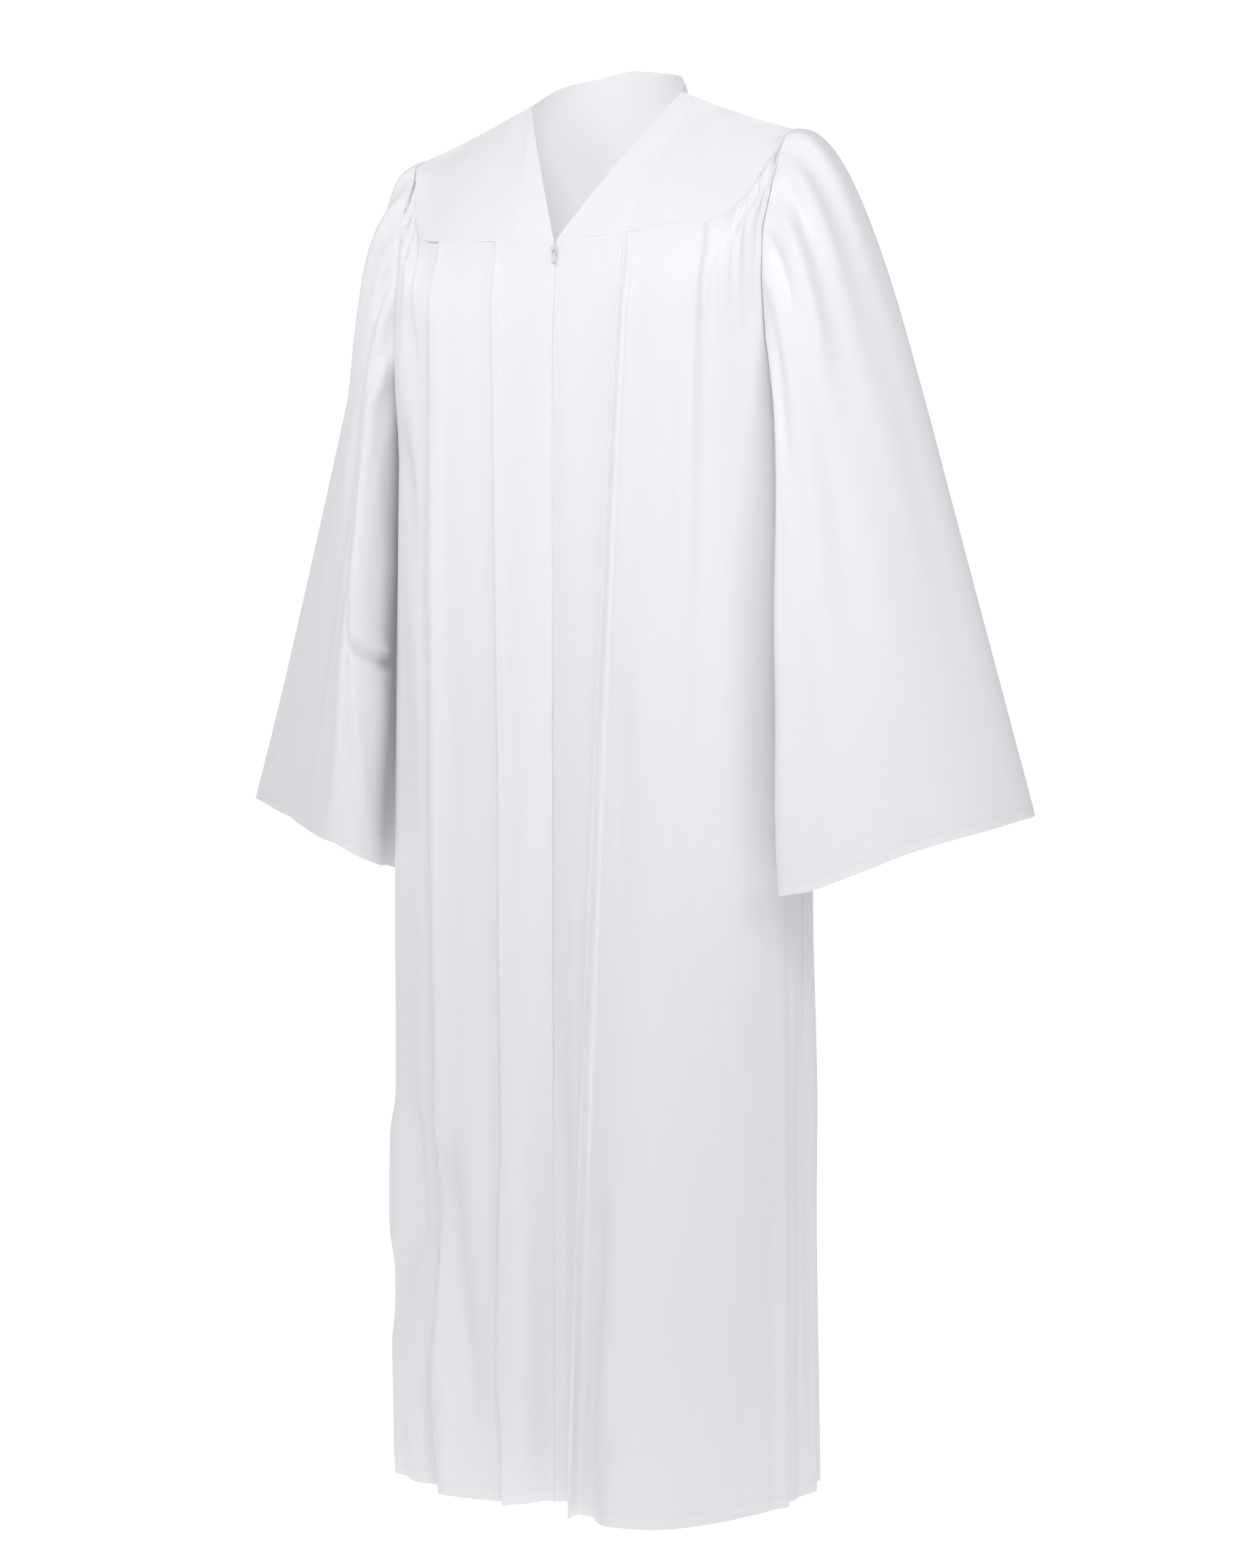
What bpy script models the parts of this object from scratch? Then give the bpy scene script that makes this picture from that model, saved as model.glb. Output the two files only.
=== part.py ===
"""Choir robe, worn form with no wearer: +Z up, front towards -Y, metres.

The origin is midway between the two neck side points, where the shoulders carry the robe.
Each cut piece is a thin closed wall. Its outer face is worked out from section sizes and from
short tables with a row for each fold line, and its inner face lies one cloth thickness inside.
"""
import bmesh
import bpy
import numpy as np
from mathutils import Vector

# Driving sizes
ROBE_LENGTH = 1.38          # neck side point down to the hem
CLOTH = 0.0013              # wall of every cut piece
SEAM_GAP = 0.0003           # between neighbouring pieces
YOKE_SEAM_GAP = 0.0005      # where facets bend round the shoulder curve
NECK_HALF_WIDTH = 0.083
BACK_NECK_RISE = 0.040      # back neck above the neck side points
BACK_NECK_DEPTH = 0.062
YOKE_SEAM_DROP = 0.158      # neck side point down to the bottom of the V
CHEST_DEPTH = 0.118         # centre front at the yoke seam, forward of the shoulder line
ZIP_LENGTH = 0.75
HEM_Z = -ROBE_LENGTH

WHITE_CLOTH = (0.86, 0.86, 0.88, 1.0)
WHITE_METAL = (0.80, 0.80, 0.81, 1.0)

# Body section at five heights: half width, depth in front of and behind the shoulder line,
# and how square the corners are (2 is an ellipse)
SECTIONS = {
    "height": (-0.06, -0.20, -0.36, -0.70, HEM_Z),
    "half_width": (0.200, 0.2045, 0.206, 0.211, 0.213),
    "front": (0.100, 0.124, 0.129, 0.136, 0.150),
    "back": (0.085, 0.112, 0.113, 0.102, 0.146),
    "square": (4.0, 4.0, 3.0, 2.6, 2.35),
}

# Armhole: how far its front and back edges stand from the shoulder line, by height
ARMHOLE = {
    "height": (-0.335, -0.325, -0.300, -0.255, -0.200, -0.150, -0.100, -0.058),
    "front": (0.000, 0.028, 0.052, 0.070, 0.076, 0.070, 0.050, 0.026),
    "back": (0.000, 0.030, 0.056, 0.074, 0.080, 0.074, 0.052, 0.024),
}
ARMHOLE_STEP = 0.008

# Yoke seams from the centre to the shoulder tip: x, y, z
FRONT_YOKE_SEAM = (
    (0.000, -CHEST_DEPTH, -YOKE_SEAM_DROP),
    (0.060, -0.117, -0.155),
    (0.120, -0.107, -0.150),
    (0.158, -0.092, -0.143),
    (0.178, -0.069, -0.119),
    (0.190, -0.047, -0.089),
    (0.201, -0.026, -0.058),
)
BACK_YOKE_SEAM = (
    (0.000, 0.104, -0.150),
    (0.060, 0.103, -0.148),
    (0.120, 0.096, -0.142),
    (0.158, 0.083, -0.130),
    (0.179, 0.064, -0.108),
    (0.191, 0.043, -0.082),
    (0.201, 0.022, -0.057),
)
SHOULDER_TIP = (0.2025, -0.003, -0.047)
SHOULDER_SAG = 0.002        # how far the shoulder line dips between neck and tip

# Fold lines of the fronts, from the centre out. Place is the share of the panel's width at the
# yoke and at the hem, and out is how far the line stands proud of the plain section at the
# yoke, half way down and at the hem.
# Columns: place_top, place_hem, out_top, out_middle, out_hem
FRONT_LEFT_FOLDS = (
    (0.000, 0.000, 0.0000, -0.0140, -0.030),
    (0.055, 0.040, 0.0015, -0.0080, -0.024),
    (0.150, 0.075, -0.0005, -0.0010, -0.007),
    (0.232, 0.112, 0.0020, 0.0040, 0.004),
    (0.258, 0.128, 0.0060, 0.0100, 0.022),
    (0.272, 0.140, -0.0020, -0.0030, 0.006),
    (0.310, 0.180, -0.0010, -0.0060, 0.014),
    (0.390, 0.270, 0.0040, 0.0080, 0.038),
    (0.470, 0.370, 0.0050, 0.0100, 0.044),
    (0.530, 0.440, 0.0065, 0.0070, 0.040),
    (0.555, 0.500, -0.0030, 0.0030, 0.031),
    (0.590, 0.570, 0.0010, 0.0040, 0.022),
    (0.625, 0.640, 0.0028, 0.0045, 0.014),
    (0.665, 0.690, 0.0005, 0.0035, 0.009),
    (0.710, 0.740, 0.0025, 0.0030, 0.006),
    (0.750, 0.790, -0.0020, 0.0015, 0.003),
    (0.800, 0.850, 0.0030, 0.0060, 0.007),
    (0.845, 0.895, -0.0030, -0.0020, -0.004),
    (0.900, 0.930, 0.0020, 0.0005, -0.001),
    (0.950, 0.965, -0.0015, -0.0020, -0.003),
    (1.000, 1.000, 0.0000, 0.0000, 0.000),
)
FRONT_RIGHT_FOLDS = (
    (0.000, 0.000, 0.0000, -0.0140, -0.030),
    (0.060, 0.040, 0.0020, -0.0060, -0.020),
    (0.140, 0.075, 0.0010, 0.0010, -0.008),
    (0.203, 0.112, 0.0020, 0.0030, 0.000),
    (0.227, 0.133, 0.0060, 0.0090, 0.008),
    (0.241, 0.147, -0.0025, -0.0040, -0.006),
    (0.290, 0.200, -0.0010, 0.0005, -0.004),
    (0.360, 0.280, 0.0025, 0.0045, 0.002),
    (0.415, 0.335, 0.0030, 0.0060, 0.004),
    (0.455, 0.375, 0.0060, 0.0100, 0.006),
    (0.478, 0.400, 0.0100, 0.0130, 0.006),
    (0.493, 0.415, -0.0070, -0.0100, 0.000),
    (0.545, 0.480, -0.0060, -0.0160, -0.010),
    (0.610, 0.560, 0.0020, -0.0050, -0.002),
    (0.665, 0.640, -0.0040, -0.0020, -0.003),
    (0.740, 0.715, 0.0030, 0.0070, 0.006),
    (0.780, 0.770, -0.0030, 0.0050, 0.003),
    (0.840, 0.840, 0.0030, 0.0080, 0.006),
    (0.880, 0.890, -0.0030, 0.0020, 0.000),
    (0.940, 0.945, 0.0020, 0.0035, 0.003),
    (1.000, 1.000, 0.0000, 0.0000, 0.000),
)

# The back is fluted: one entry here for each flute of a half, from the centre out, saying how much
# wider and deeper than the plain flute it is. The last two, by the side seam, are flatter.
BACK_FLUTE_DEPTH = {"top": 0.0035, "middle": 0.0085, "hem": 0.013}
FLUTE_PROFILE = ((0.25, 0.55), (0.5, 1.0), (0.75, 0.55))
FLUTE_TROUGH = 0.6
BACK_FLUTE_UNEVEN = (0.16, 0.40, -0.28, 0.32, -0.38, 0.30, 0.20)
BACK_FLUTE_SIDE = 0.4       # depth of the last two as a share of the others'

# Fold lines round a sleeve. Round is the share of the way from the shoulder tip forwards, down
# to the underarm and up the back. The cuff columns give where the line ends: x, y and drop.
# Out is the relief at the gathered cap, below the cap, half way down and at the cuff.
SLEEVE_COLUMNS = ("round", "cuff_x", "cuff_y", "cuff_z", "out_cap", "out_upper", "out_middle", "out_cuff")
SLEEVE_LEFT_FOLDS = (
    (0.000, 0.435, 0.030, -0.7123, 0.000, 0.000, 0.000, 0.000),
    (0.030, 0.429, 0.008, -0.7154, 0.006, 0.005, 0.003, 0.000),
    (0.060, 0.418, -0.014, -0.7201, -0.005, -0.002, 0.000, 0.001),
    (0.095, 0.403, -0.035, -0.7258, 0.006, 0.006, 0.004, 0.002),
    (0.130, 0.386, -0.054, -0.7313, -0.005, -0.003, -0.001, 0.003),
    (0.170, 0.364, -0.071, -0.7389, 0.005, 0.006, 0.004, 0.003),
    (0.210, 0.341, -0.086, -0.7476, -0.004, -0.003, 0.000, 0.002),
    (0.250, 0.316, -0.099, -0.7590, 0.004, 0.005, 0.004, 0.001),
    (0.295, 0.290, -0.110, -0.7697, -0.003, -0.003, 0.000, 0.000),
    (0.340, 0.265, -0.118, -0.7797, 0.002, 0.002, 0.002, 0.000),
    (0.385, 0.244, -0.121, -0.7833, -0.001, 0.000, 0.001, 0.000),
    (0.420, 0.231, -0.116, -0.7855, 0.000, 0.000, 0.000, 0.000),
    (0.450, 0.227, -0.102, -0.7862, 0.000, 0.000, 0.000, 0.000),
    (0.485, 0.229, -0.075, -0.7858, 0.000, 0.000, 0.000, 0.000),
    (0.520, 0.234, -0.045, -0.7815, 0.000, 0.000, -0.002, 0.000),
    (0.560, 0.240, -0.013, -0.7772, 0.000, 0.000, 0.001, 0.000),
    (0.600, 0.246, 0.020, -0.7723, 0.001, 0.001, 0.003, 0.000),
    (0.645, 0.256, 0.049, -0.7662, -0.001, -0.001, 0.000, 0.000),
    (0.690, 0.274, 0.072, -0.7569, 0.003, 0.004, 0.004, 0.002),
    (0.735, 0.297, 0.088, -0.7468, -0.003, -0.002, -0.001, 0.003),
    (0.780, 0.323, 0.097, -0.7383, 0.005, 0.005, 0.004, 0.003),
    (0.820, 0.349, 0.099, -0.7308, -0.004, -0.002, 0.000, 0.002),
    (0.860, 0.376, 0.094, -0.7233, 0.005, 0.005, 0.004, 0.001),
    (0.900, 0.399, 0.083, -0.7168, -0.005, -0.002, 0.000, 0.000),
    (0.935, 0.416, 0.068, -0.7125, 0.006, 0.005, 0.003, 0.000),
    (0.970, 0.429, 0.050, -0.7095, -0.004, -0.002, 0.000, 0.000),
)
SLEEVE_RIGHT_FOLDS = (
    (0.000, 0.430, 0.036, -0.7049, 0.000, -0.004, -0.004, 0.000),
    (0.030, 0.419, 0.022, -0.7056, 0.005, -0.006, -0.006, 0.000),
    (0.060, 0.406, 0.009, -0.7075, -0.004, -0.002, -0.007, 0.001),
    (0.095, 0.391, -0.006, -0.7098, 0.006, 0.010, -0.004, 0.002),
    (0.130, 0.374, -0.021, -0.7130, -0.002, 0.013, 0.002, 0.002),
    (0.170, 0.354, -0.039, -0.7167, 0.005, 0.004, 0.006, 0.001),
    (0.210, 0.333, -0.058, -0.7208, -0.005, -0.008, 0.005, 0.000),
    (0.250, 0.311, -0.078, -0.7257, 0.004, -0.003, -0.001, 0.000),
    (0.295, 0.288, -0.098, -0.7312, -0.004, 0.003, -0.005, 0.002),
    (0.340, 0.264, -0.113, -0.7383, 0.003, -0.004, 0.000, 0.004),
    (0.385, 0.244, -0.118, -0.7444, -0.002, -0.003, 0.005, 0.003),
    (0.420, 0.228, -0.110, -0.7551, 0.000, 0.002, 0.005, 0.000),
    (0.450, 0.220, -0.094, -0.7620, 0.000, 0.003, 0.006, 0.000),
    (0.485, 0.220, -0.068, -0.7676, 0.000, 0.001, 0.002, 0.000),
    (0.520, 0.229, -0.040, -0.7688, 0.000, -0.001, -0.002, 0.000),
    (0.560, 0.237, -0.010, -0.7726, 0.000, 0.000, 0.000, 0.000),
    (0.600, 0.246, 0.020, -0.7746, 0.001, 0.001, 0.003, 0.000),
    (0.645, 0.256, 0.049, -0.7730, -0.001, -0.001, 0.000, 0.000),
    (0.690, 0.274, 0.072, -0.7650, 0.003, 0.004, 0.004, 0.002),
    (0.735, 0.297, 0.088, -0.7560, -0.003, -0.002, -0.001, 0.003),
    (0.780, 0.323, 0.097, -0.7450, 0.005, 0.005, 0.004, 0.003),
    (0.820, 0.348, 0.099, -0.7340, -0.004, -0.002, 0.000, 0.002),
    (0.860, 0.373, 0.095, -0.7220, 0.005, 0.005, 0.004, 0.001),
    (0.900, 0.396, 0.085, -0.7130, -0.005, -0.002, 0.000, 0.000),
    (0.935, 0.412, 0.070, -0.7070, 0.006, 0.003, 0.000, 0.000),
    (0.970, 0.424, 0.053, -0.7020, -0.004, -0.002, -0.002, 0.000),
)
# How each sleeve leaves the armhole and reaches the cuff at its outer line: the handles of the
# line's cubic curve, across and up
SLEEVE_LEFT_HANG = {"leave": (0.064, 0.005), "arrive": (-0.132, 0.512)}
SLEEVE_RIGHT_HANG = {"leave": (0.055, -0.004), "arrive": (-0.152, 0.470)}
SLEEVE_INNER_LEAVE = (0.018, -0.065)
SLEEVE_INNER_ARRIVE = (-0.003, 0.220)
SLEEVE_OUT_AT = (0.0, 0.10, 0.30, 0.55, 1.0)
SEAM_RELIEF = 0.25          # share of the cap's relief right at the armhole
SLEEVE_FORE_LEAVE = -0.022  # the front and back lines leave the armhole forwards and backwards
SLEEVE_INNER_BEHIND = 0.020
SLEEVE_OUTER_BEHIND = -0.030
# The front inner edge of a sleeve bellies forwards: where round the sleeve, how wide, how far
SLEEVE_BELLY = {"round": 0.40, "width": 0.08, "leave": -0.030, "arrive": -0.022}
SLEEVE_STANDOFF = 0.0018    # the cap starts this far outside the armhole edge

# Rows of each piece, as shares of the way down, closer together near the yoke
PANEL_ROWS = (0.0, 0.018, 0.045, 0.08, 0.12, 0.165, 0.22, 0.29, 0.38, 0.49, 0.61, 0.74, 0.87, 1.0)
SLEEVE_ROWS = (0.0, 0.05, 0.11, 0.18, 0.26, 0.35, 0.45, 0.57, 0.70, 0.85, 1.0)
YOKE_ROWS = (0.0, 0.25, 0.5, 0.75, 1.0)

YOKE_BULGE = 0.004
BACK_NECK = (
    (0.000, BACK_NECK_DEPTH, BACK_NECK_RISE),
    (0.038, 0.056, 0.033),
    (0.068, 0.034, 0.022),
    (NECK_HALF_WIDTH, SEAM_GAP, 0.000),
)
BACK_NECK_SHARE = 0.45      # share of half the back yoke's width that the neck takes
FREE_SHARE = 0.55           # folds nearer the centre than this hang free of the armhole
FOLD_DRIFT = 1.7            # power of the drift of a fold line between yoke and hem
TOP_RELIEF = 0.35           # share of a fold's relief right at the yoke seam
TOP_RELIEF_END = 0.05       # share of the panel's length by which the relief is whole
SEAM_REACH_CENTRE = 0.10    # drop below the yoke seam by which a fold reaches the plain section
SEAM_REACH_TIP = 0.05
SEAM_REACH_EDGE = 0.02
RUN_STEP = 0.004            # half the length over which a section's direction is read
SEAM_STEP = 0.01            # the same along a yoke seam, as a share of its length
TIP_GAP_GROWTH = 1.6        # the yoke seam's gap is this much wider at the shoulder tip
SIDE_SEAM_HALF_GAP = 0.0003

# Zip: tapes, chain, slider and pull tab
ZIP_SLIT = 0.0024
ZIP_TAPE_WIDTH = 0.024
ZIP_TAPE = 0.001
ZIP_CHAIN_WIDTH = 0.0014
ZIP_CHAIN_RECESS = 0.0002
ZIP_CLEARANCE = 0.0006
ZIP_TOP = -YOKE_SEAM_DROP - 0.002
ZIP_BOTTOM = ZIP_TOP - ZIP_LENGTH + 0.012
SLIDER_Z = -YOKE_SEAM_DROP - 0.009
SLIDER_CLEARANCE = 0.0008
SLIDER_PLATE = 0.0016
SLIDER_WIDTH = 0.007
SLIDER_HEIGHT = 0.0085
SLIDER_STEM = 0.0012
STEM_CLEAR = 0.0009
STEM_SHARE = 0.6            # of the slider's height
BAIL_HEIGHT = 0.0052
BAIL_WIDTH = 0.0016
BAIL_BAR = 0.0008
BAIL_CLEAR = 0.0017
BAIL_ROOT = 0.0003          # the bail's feet run this far into the plate
TAB_AXIS_STANDOFF = 0.00085
TAB_WIDTH = 0.0046
TAB_LENGTH = 0.0125
TAB_THICKNESS = 0.001
TAB_SLOT = 0.0038
TAB_SLOT_WIDTH = 0.0024


def clear_scene():
    for thing in list(bpy.data.objects):
        bpy.data.objects.remove(thing, do_unlink=True)


def make_material(name, colour, roughness, metallic):
    material = bpy.data.materials.new(name)
    material.use_nodes = True
    shader = material.node_tree.nodes["Principled BSDF"]
    shader.inputs["Base Color"].default_value = colour
    shader.inputs["Roughness"].default_value = roughness
    shader.inputs["Metallic"].default_value = metallic
    material.diffuse_color = colour
    return material


def cloth_material(name):
    return make_material(name, WHITE_CLOTH, 0.85, 0.0)


def add_object(name, mesh, material):
    thing = bpy.data.objects.new(name, mesh)
    bpy.context.scene.collection.objects.link(thing)
    mesh.materials.append(material)
    return thing


def section_sizes(z):
    return {key: np.interp(-z, [-h for h in SECTIONS["height"]], SECTIONS[key])
            for key in ("half_width", "front", "back", "square")}


def armhole_edge(z, side):
    return np.interp(z, ARMHOLE["height"], ARMHOLE[side])


def section_curve(z, side, count=240):
    """Plain section at height z, from the centre line to the side seam or the armhole edge."""
    sizes = section_sizes(z)
    power = 2.0 / sizes["square"]
    angle = np.linspace(0.0, np.pi / 2, count)
    across = sizes["half_width"] * np.sin(angle) ** power
    along = sizes[side] * np.abs(np.cos(angle)) ** power
    if z > ARMHOLE["height"][0]:
        edge = armhole_edge(z, side)
        kept = along >= edge
        edge_x = np.interp(-edge, -along, across)
        across = np.append(across[kept], edge_x)
        along = np.append(along[kept], edge)
    towards = -1.0 if side == "front" else 1.0
    return np.stack([across, towards * along], axis=1)


def along_curve(points, shares):
    """Points at the given shares of a polyline's length."""
    points = np.asarray(points, float)
    steps = np.linalg.norm(np.diff(points, axis=0), axis=1)
    length = np.concatenate([[0.0], np.cumsum(steps)])
    wanted = np.clip(shares, 0.0, 1.0) * length[-1]
    columns = [np.interp(wanted, length, points[:, k]) for k in range(points.shape[1])]
    return np.stack(columns, axis=1)


def smooth_curve(points, per_span=12):
    """Catmull-Rom curve through the given points."""
    points = np.asarray(points, float)
    padded = np.vstack([2 * points[0] - points[1], points, 2 * points[-1] - points[-2]])
    made = []
    for k in range(1, len(padded) - 2):
        before, start, end, after = padded[k - 1:k + 3]
        for t in np.arange(per_span) / per_span:
            made.append(0.5 * (2 * start + (end - before) * t
                               + (2 * before - 5 * start + 4 * end - after) * t ** 2
                               + (3 * start - before - 3 * end + after) * t ** 3))
    made.append(points[-1])
    return np.array(made)


def ease(t):
    t = np.clip(t, 0.0, 1.0)
    return t * t * (3.0 - 2.0 * t)


def three_stops(top, middle, bottom, t):
    """Value that is top at 0, middle at 0.5 and bottom at 1, on one smooth curve."""
    return top * (1 - t) * (1 - 2 * t) + middle * 4 * t * (1 - t) + bottom * t * (2 * t - 1)


def fold_place(top, hem, down):
    """Share of the panel's width at which a fold line runs: it drifts most near the yoke."""
    return top + (1.0 - (1.0 - down) ** FOLD_DRIFT) * (hem - top)


def grid_normals(grid, closed=False):
    """Unit normals of a grid of points, rows first, from differences along both ways."""
    if closed:
        across = np.roll(grid, -1, axis=1) - np.roll(grid, 1, axis=1)
    else:
        across = np.gradient(grid, axis=1)
    down = np.gradient(grid, axis=0)
    normals = np.cross(across, down)
    return normals / np.linalg.norm(normals, axis=2, keepdims=True)


def seam_normals(seam, shares, towards):
    """Level unit normals of a yoke seam, which both pieces that meet there share."""
    ahead = along_curve(seam, np.minimum(np.asarray(shares) + SEAM_STEP, 1.0))
    behind = along_curve(seam, np.maximum(np.asarray(shares) - SEAM_STEP, 0.0))
    run = (ahead - behind)[:, :2]
    normals = np.stack([-towards * run[:, 1], towards * run[:, 0], np.zeros(len(run))], axis=1)
    return normals / np.linalg.norm(normals, axis=1, keepdims=True)


def below_seam(seam, shares, normals):
    """Unit steps away from a yoke seam, down the panel and square to the seam."""
    ahead = along_curve(seam, np.minimum(np.asarray(shares) + SEAM_STEP, 1.0))
    behind = along_curve(seam, np.maximum(np.asarray(shares) - SEAM_STEP, 0.0))
    steps = np.cross(normals, ahead - behind)
    steps *= -np.sign(steps[:, 2:])
    return steps / np.linalg.norm(steps, axis=1, keepdims=True)


def section_length(z, side):
    steps = np.diff(section_curve(z, side), axis=0)
    return np.linalg.norm(steps, axis=1).sum()


def panel_grid(folds, side):
    """Outer face of a panel on the wearer's left: rows from the yoke seam down to the hem."""
    seam = smooth_curve(FRONT_YOKE_SEAM if side == "front" else BACK_YOKE_SEAM)
    seam_length = np.linalg.norm(np.diff(seam, axis=0), axis=1).sum()
    hem_length = section_length(HEM_Z, side)
    towards = -1.0 if side == "front" else 1.0
    place_top, place_hem, out_top, out_middle, out_hem = np.asarray(folds, float).T
    top_normals = seam_normals(seam, place_top, towards)
    gaps = YOKE_SEAM_GAP * (1.0 + TIP_GAP_GROWTH * place_top ** 6)[:, None]
    tops = along_curve(seam, place_top) + below_seam(seam, place_top, top_normals) * gaps
    grid = np.zeros((len(PANEL_ROWS), len(place_top), 3))
    for i, share in enumerate(PANEL_ROWS):
        for k, top in enumerate(tops):
            z = top[2] + share * (HEM_Z - top[2])
            curve = section_curve(z, side)
            length = section_length(z, side)
            down = np.clip((z - seam[0, 2]) / (HEM_Z - seam[0, 2]), 0.0, 1.0)
            full = seam_length + down * (hem_length - seam_length)
            free = FREE_SHARE * full
            place = fold_place(place_top[k], place_hem[k], down)
            distance = place * full
            if distance > free:
                distance = free + (length - free) * (distance - free) / (full - free)
            near = np.array([distance - RUN_STEP, distance, distance + RUN_STEP]) / length
            around = along_curve(curve, near)
            run = around[2] - around[0]
            outward = towards * np.array([-run[1], run[0]]) / np.linalg.norm(run)
            reach = SEAM_REACH_CENTRE + place_top[k] * (SEAM_REACH_TIP - SEAM_REACH_CENTRE)
            if place_top[k] >= 1.0:
                reach = SEAM_REACH_EDGE
            hold = ease((top[2] - z) / reach)
            outward = top_normals[k, :2] * (1 - hold) + outward * hold
            out = three_stops(out_top[k], out_middle[k], out_hem[k], share)
            out *= TOP_RELIEF + (1.0 - TOP_RELIEF) * ease(share / TOP_RELIEF_END)
            grid[i, k, :2] = top[:2] * (1 - hold) + around[1] * hold + outward * out
            grid[i, k, 2] = z
    return grid


def back_folds():
    """Fold table of half the back: a ridge and a trough for each flute."""
    rows = [(0.0, 0.0, 0.0, 0.0, 0.0)]
    edges = np.cumsum([1.0 + 0.5 * uneven for uneven in BACK_FLUTE_UNEVEN])
    edges = np.concatenate([[0.0], edges / edges[-1]])
    for k, uneven in enumerate(BACK_FLUTE_UNEVEN):
        start, end = edges[k], edges[k + 1]
        depth = 1.0 + 0.5 * uneven
        if k + 2 >= len(BACK_FLUTE_UNEVEN):
            depth *= BACK_FLUTE_SIDE
        outs = [depth * BACK_FLUTE_DEPTH[level] for level in ("top", "middle", "hem")]
        for share, lift in FLUTE_PROFILE:
            place = start + share * (end - start)
            rows.append((place, place, *[out * lift for out in outs]))
        if k + 1 < len(BACK_FLUTE_UNEVEN):
            rows.append((end, end, *[-FLUTE_TROUGH * out for out in outs]))
    rows.append((1.0, 1.0, 0.0, 0.0, 0.0))
    return rows


def shoulder_line(count=40):
    """From the neck side point to the shoulder tip, dipping a little."""
    t = np.linspace(0.0, 1.0, count)[:, None]
    neck = np.array([NECK_HALF_WIDTH, 0.0, 0.0])
    line = neck + t * (np.array(SHOULDER_TIP) - neck)
    line[:, 2:] -= SHOULDER_SAG * 4 * t * (1 - t)
    return line


def yoke_patch(bottom, top, bulge, sign):
    """Rows from the yoke seam up to the shoulder, bulged outwards between them."""
    rows = np.array([bottom + share * (top - bottom) for share in YOKE_ROWS])
    normals = grid_normals(rows) * sign
    up = np.array(YOKE_ROWS)[:, None, None]
    reach = np.abs(bottom[:, 0]) / np.abs(bottom[-1, 0])
    full = (1 - reach ** 3)[None, :, None]
    return rows + normals * bulge * 4 * up * (1 - up) * full


def front_yoke_grid(folds):
    shares = np.array(folds)[:, 0]
    bottom = along_curve(smooth_curve(FRONT_YOKE_SEAM), shares)
    top = along_curve(shoulder_line(), shares)
    top[:, 1] -= SEAM_GAP
    return yoke_patch(bottom, top, YOKE_BULGE, 1.0)


def back_yoke_grid():
    half = np.array(back_folds())[:, 0]
    shares = np.concatenate([-half[:0:-1], half])
    neck = smooth_curve(BACK_NECK)
    bottom, top = [], []
    for share in shares:
        side = -1.0 if share < 0 else 1.0
        low = along_curve(smooth_curve(BACK_YOKE_SEAM), [abs(share)])[0]
        if abs(share) < BACK_NECK_SHARE:
            high = along_curve(neck, [abs(share) / BACK_NECK_SHARE])[0]
        else:
            rest = (abs(share) - BACK_NECK_SHARE) / (1 - BACK_NECK_SHARE)
            high = along_curve(shoulder_line(), [rest])[0] + np.array([0.0, SEAM_GAP, 0.0])
        bottom.append(low * np.array([side, 1.0, 1.0]))
        top.append(high * np.array([side, 1.0, 1.0]))
    return yoke_patch(np.array(bottom), np.array(top), YOKE_BULGE, -1.0)


def armhole_ring(rounds):
    """Points round the wearer's left armhole: tip, front edge, underarm, back edge."""
    halves = {}
    for side, towards, seam in (("front", -1.0, FRONT_YOKE_SEAM), ("back", 1.0, BACK_YOKE_SEAM)):
        line = [SHOULDER_TIP, seam[-1]]
        for z in np.arange(seam[-1][2] - ARMHOLE_STEP, ARMHOLE["height"][0], -ARMHOLE_STEP):
            x, y = section_curve(z, side)[-1]
            line.append((x, y, z))
        line.append((section_sizes(ARMHOLE["height"][0])["half_width"], 0.0, ARMHOLE["height"][0]))
        halves[side] = np.array(line)
    ring = []
    for w in rounds:
        side, share = ("front", 2 * w) if w <= 0.5 else ("back", 2 - 2 * w)
        ring.append(along_curve(halves[side], [share])[0])
    return np.array(ring) + np.array([SLEEVE_STANDOFF, 0.0, 0.0])


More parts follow.
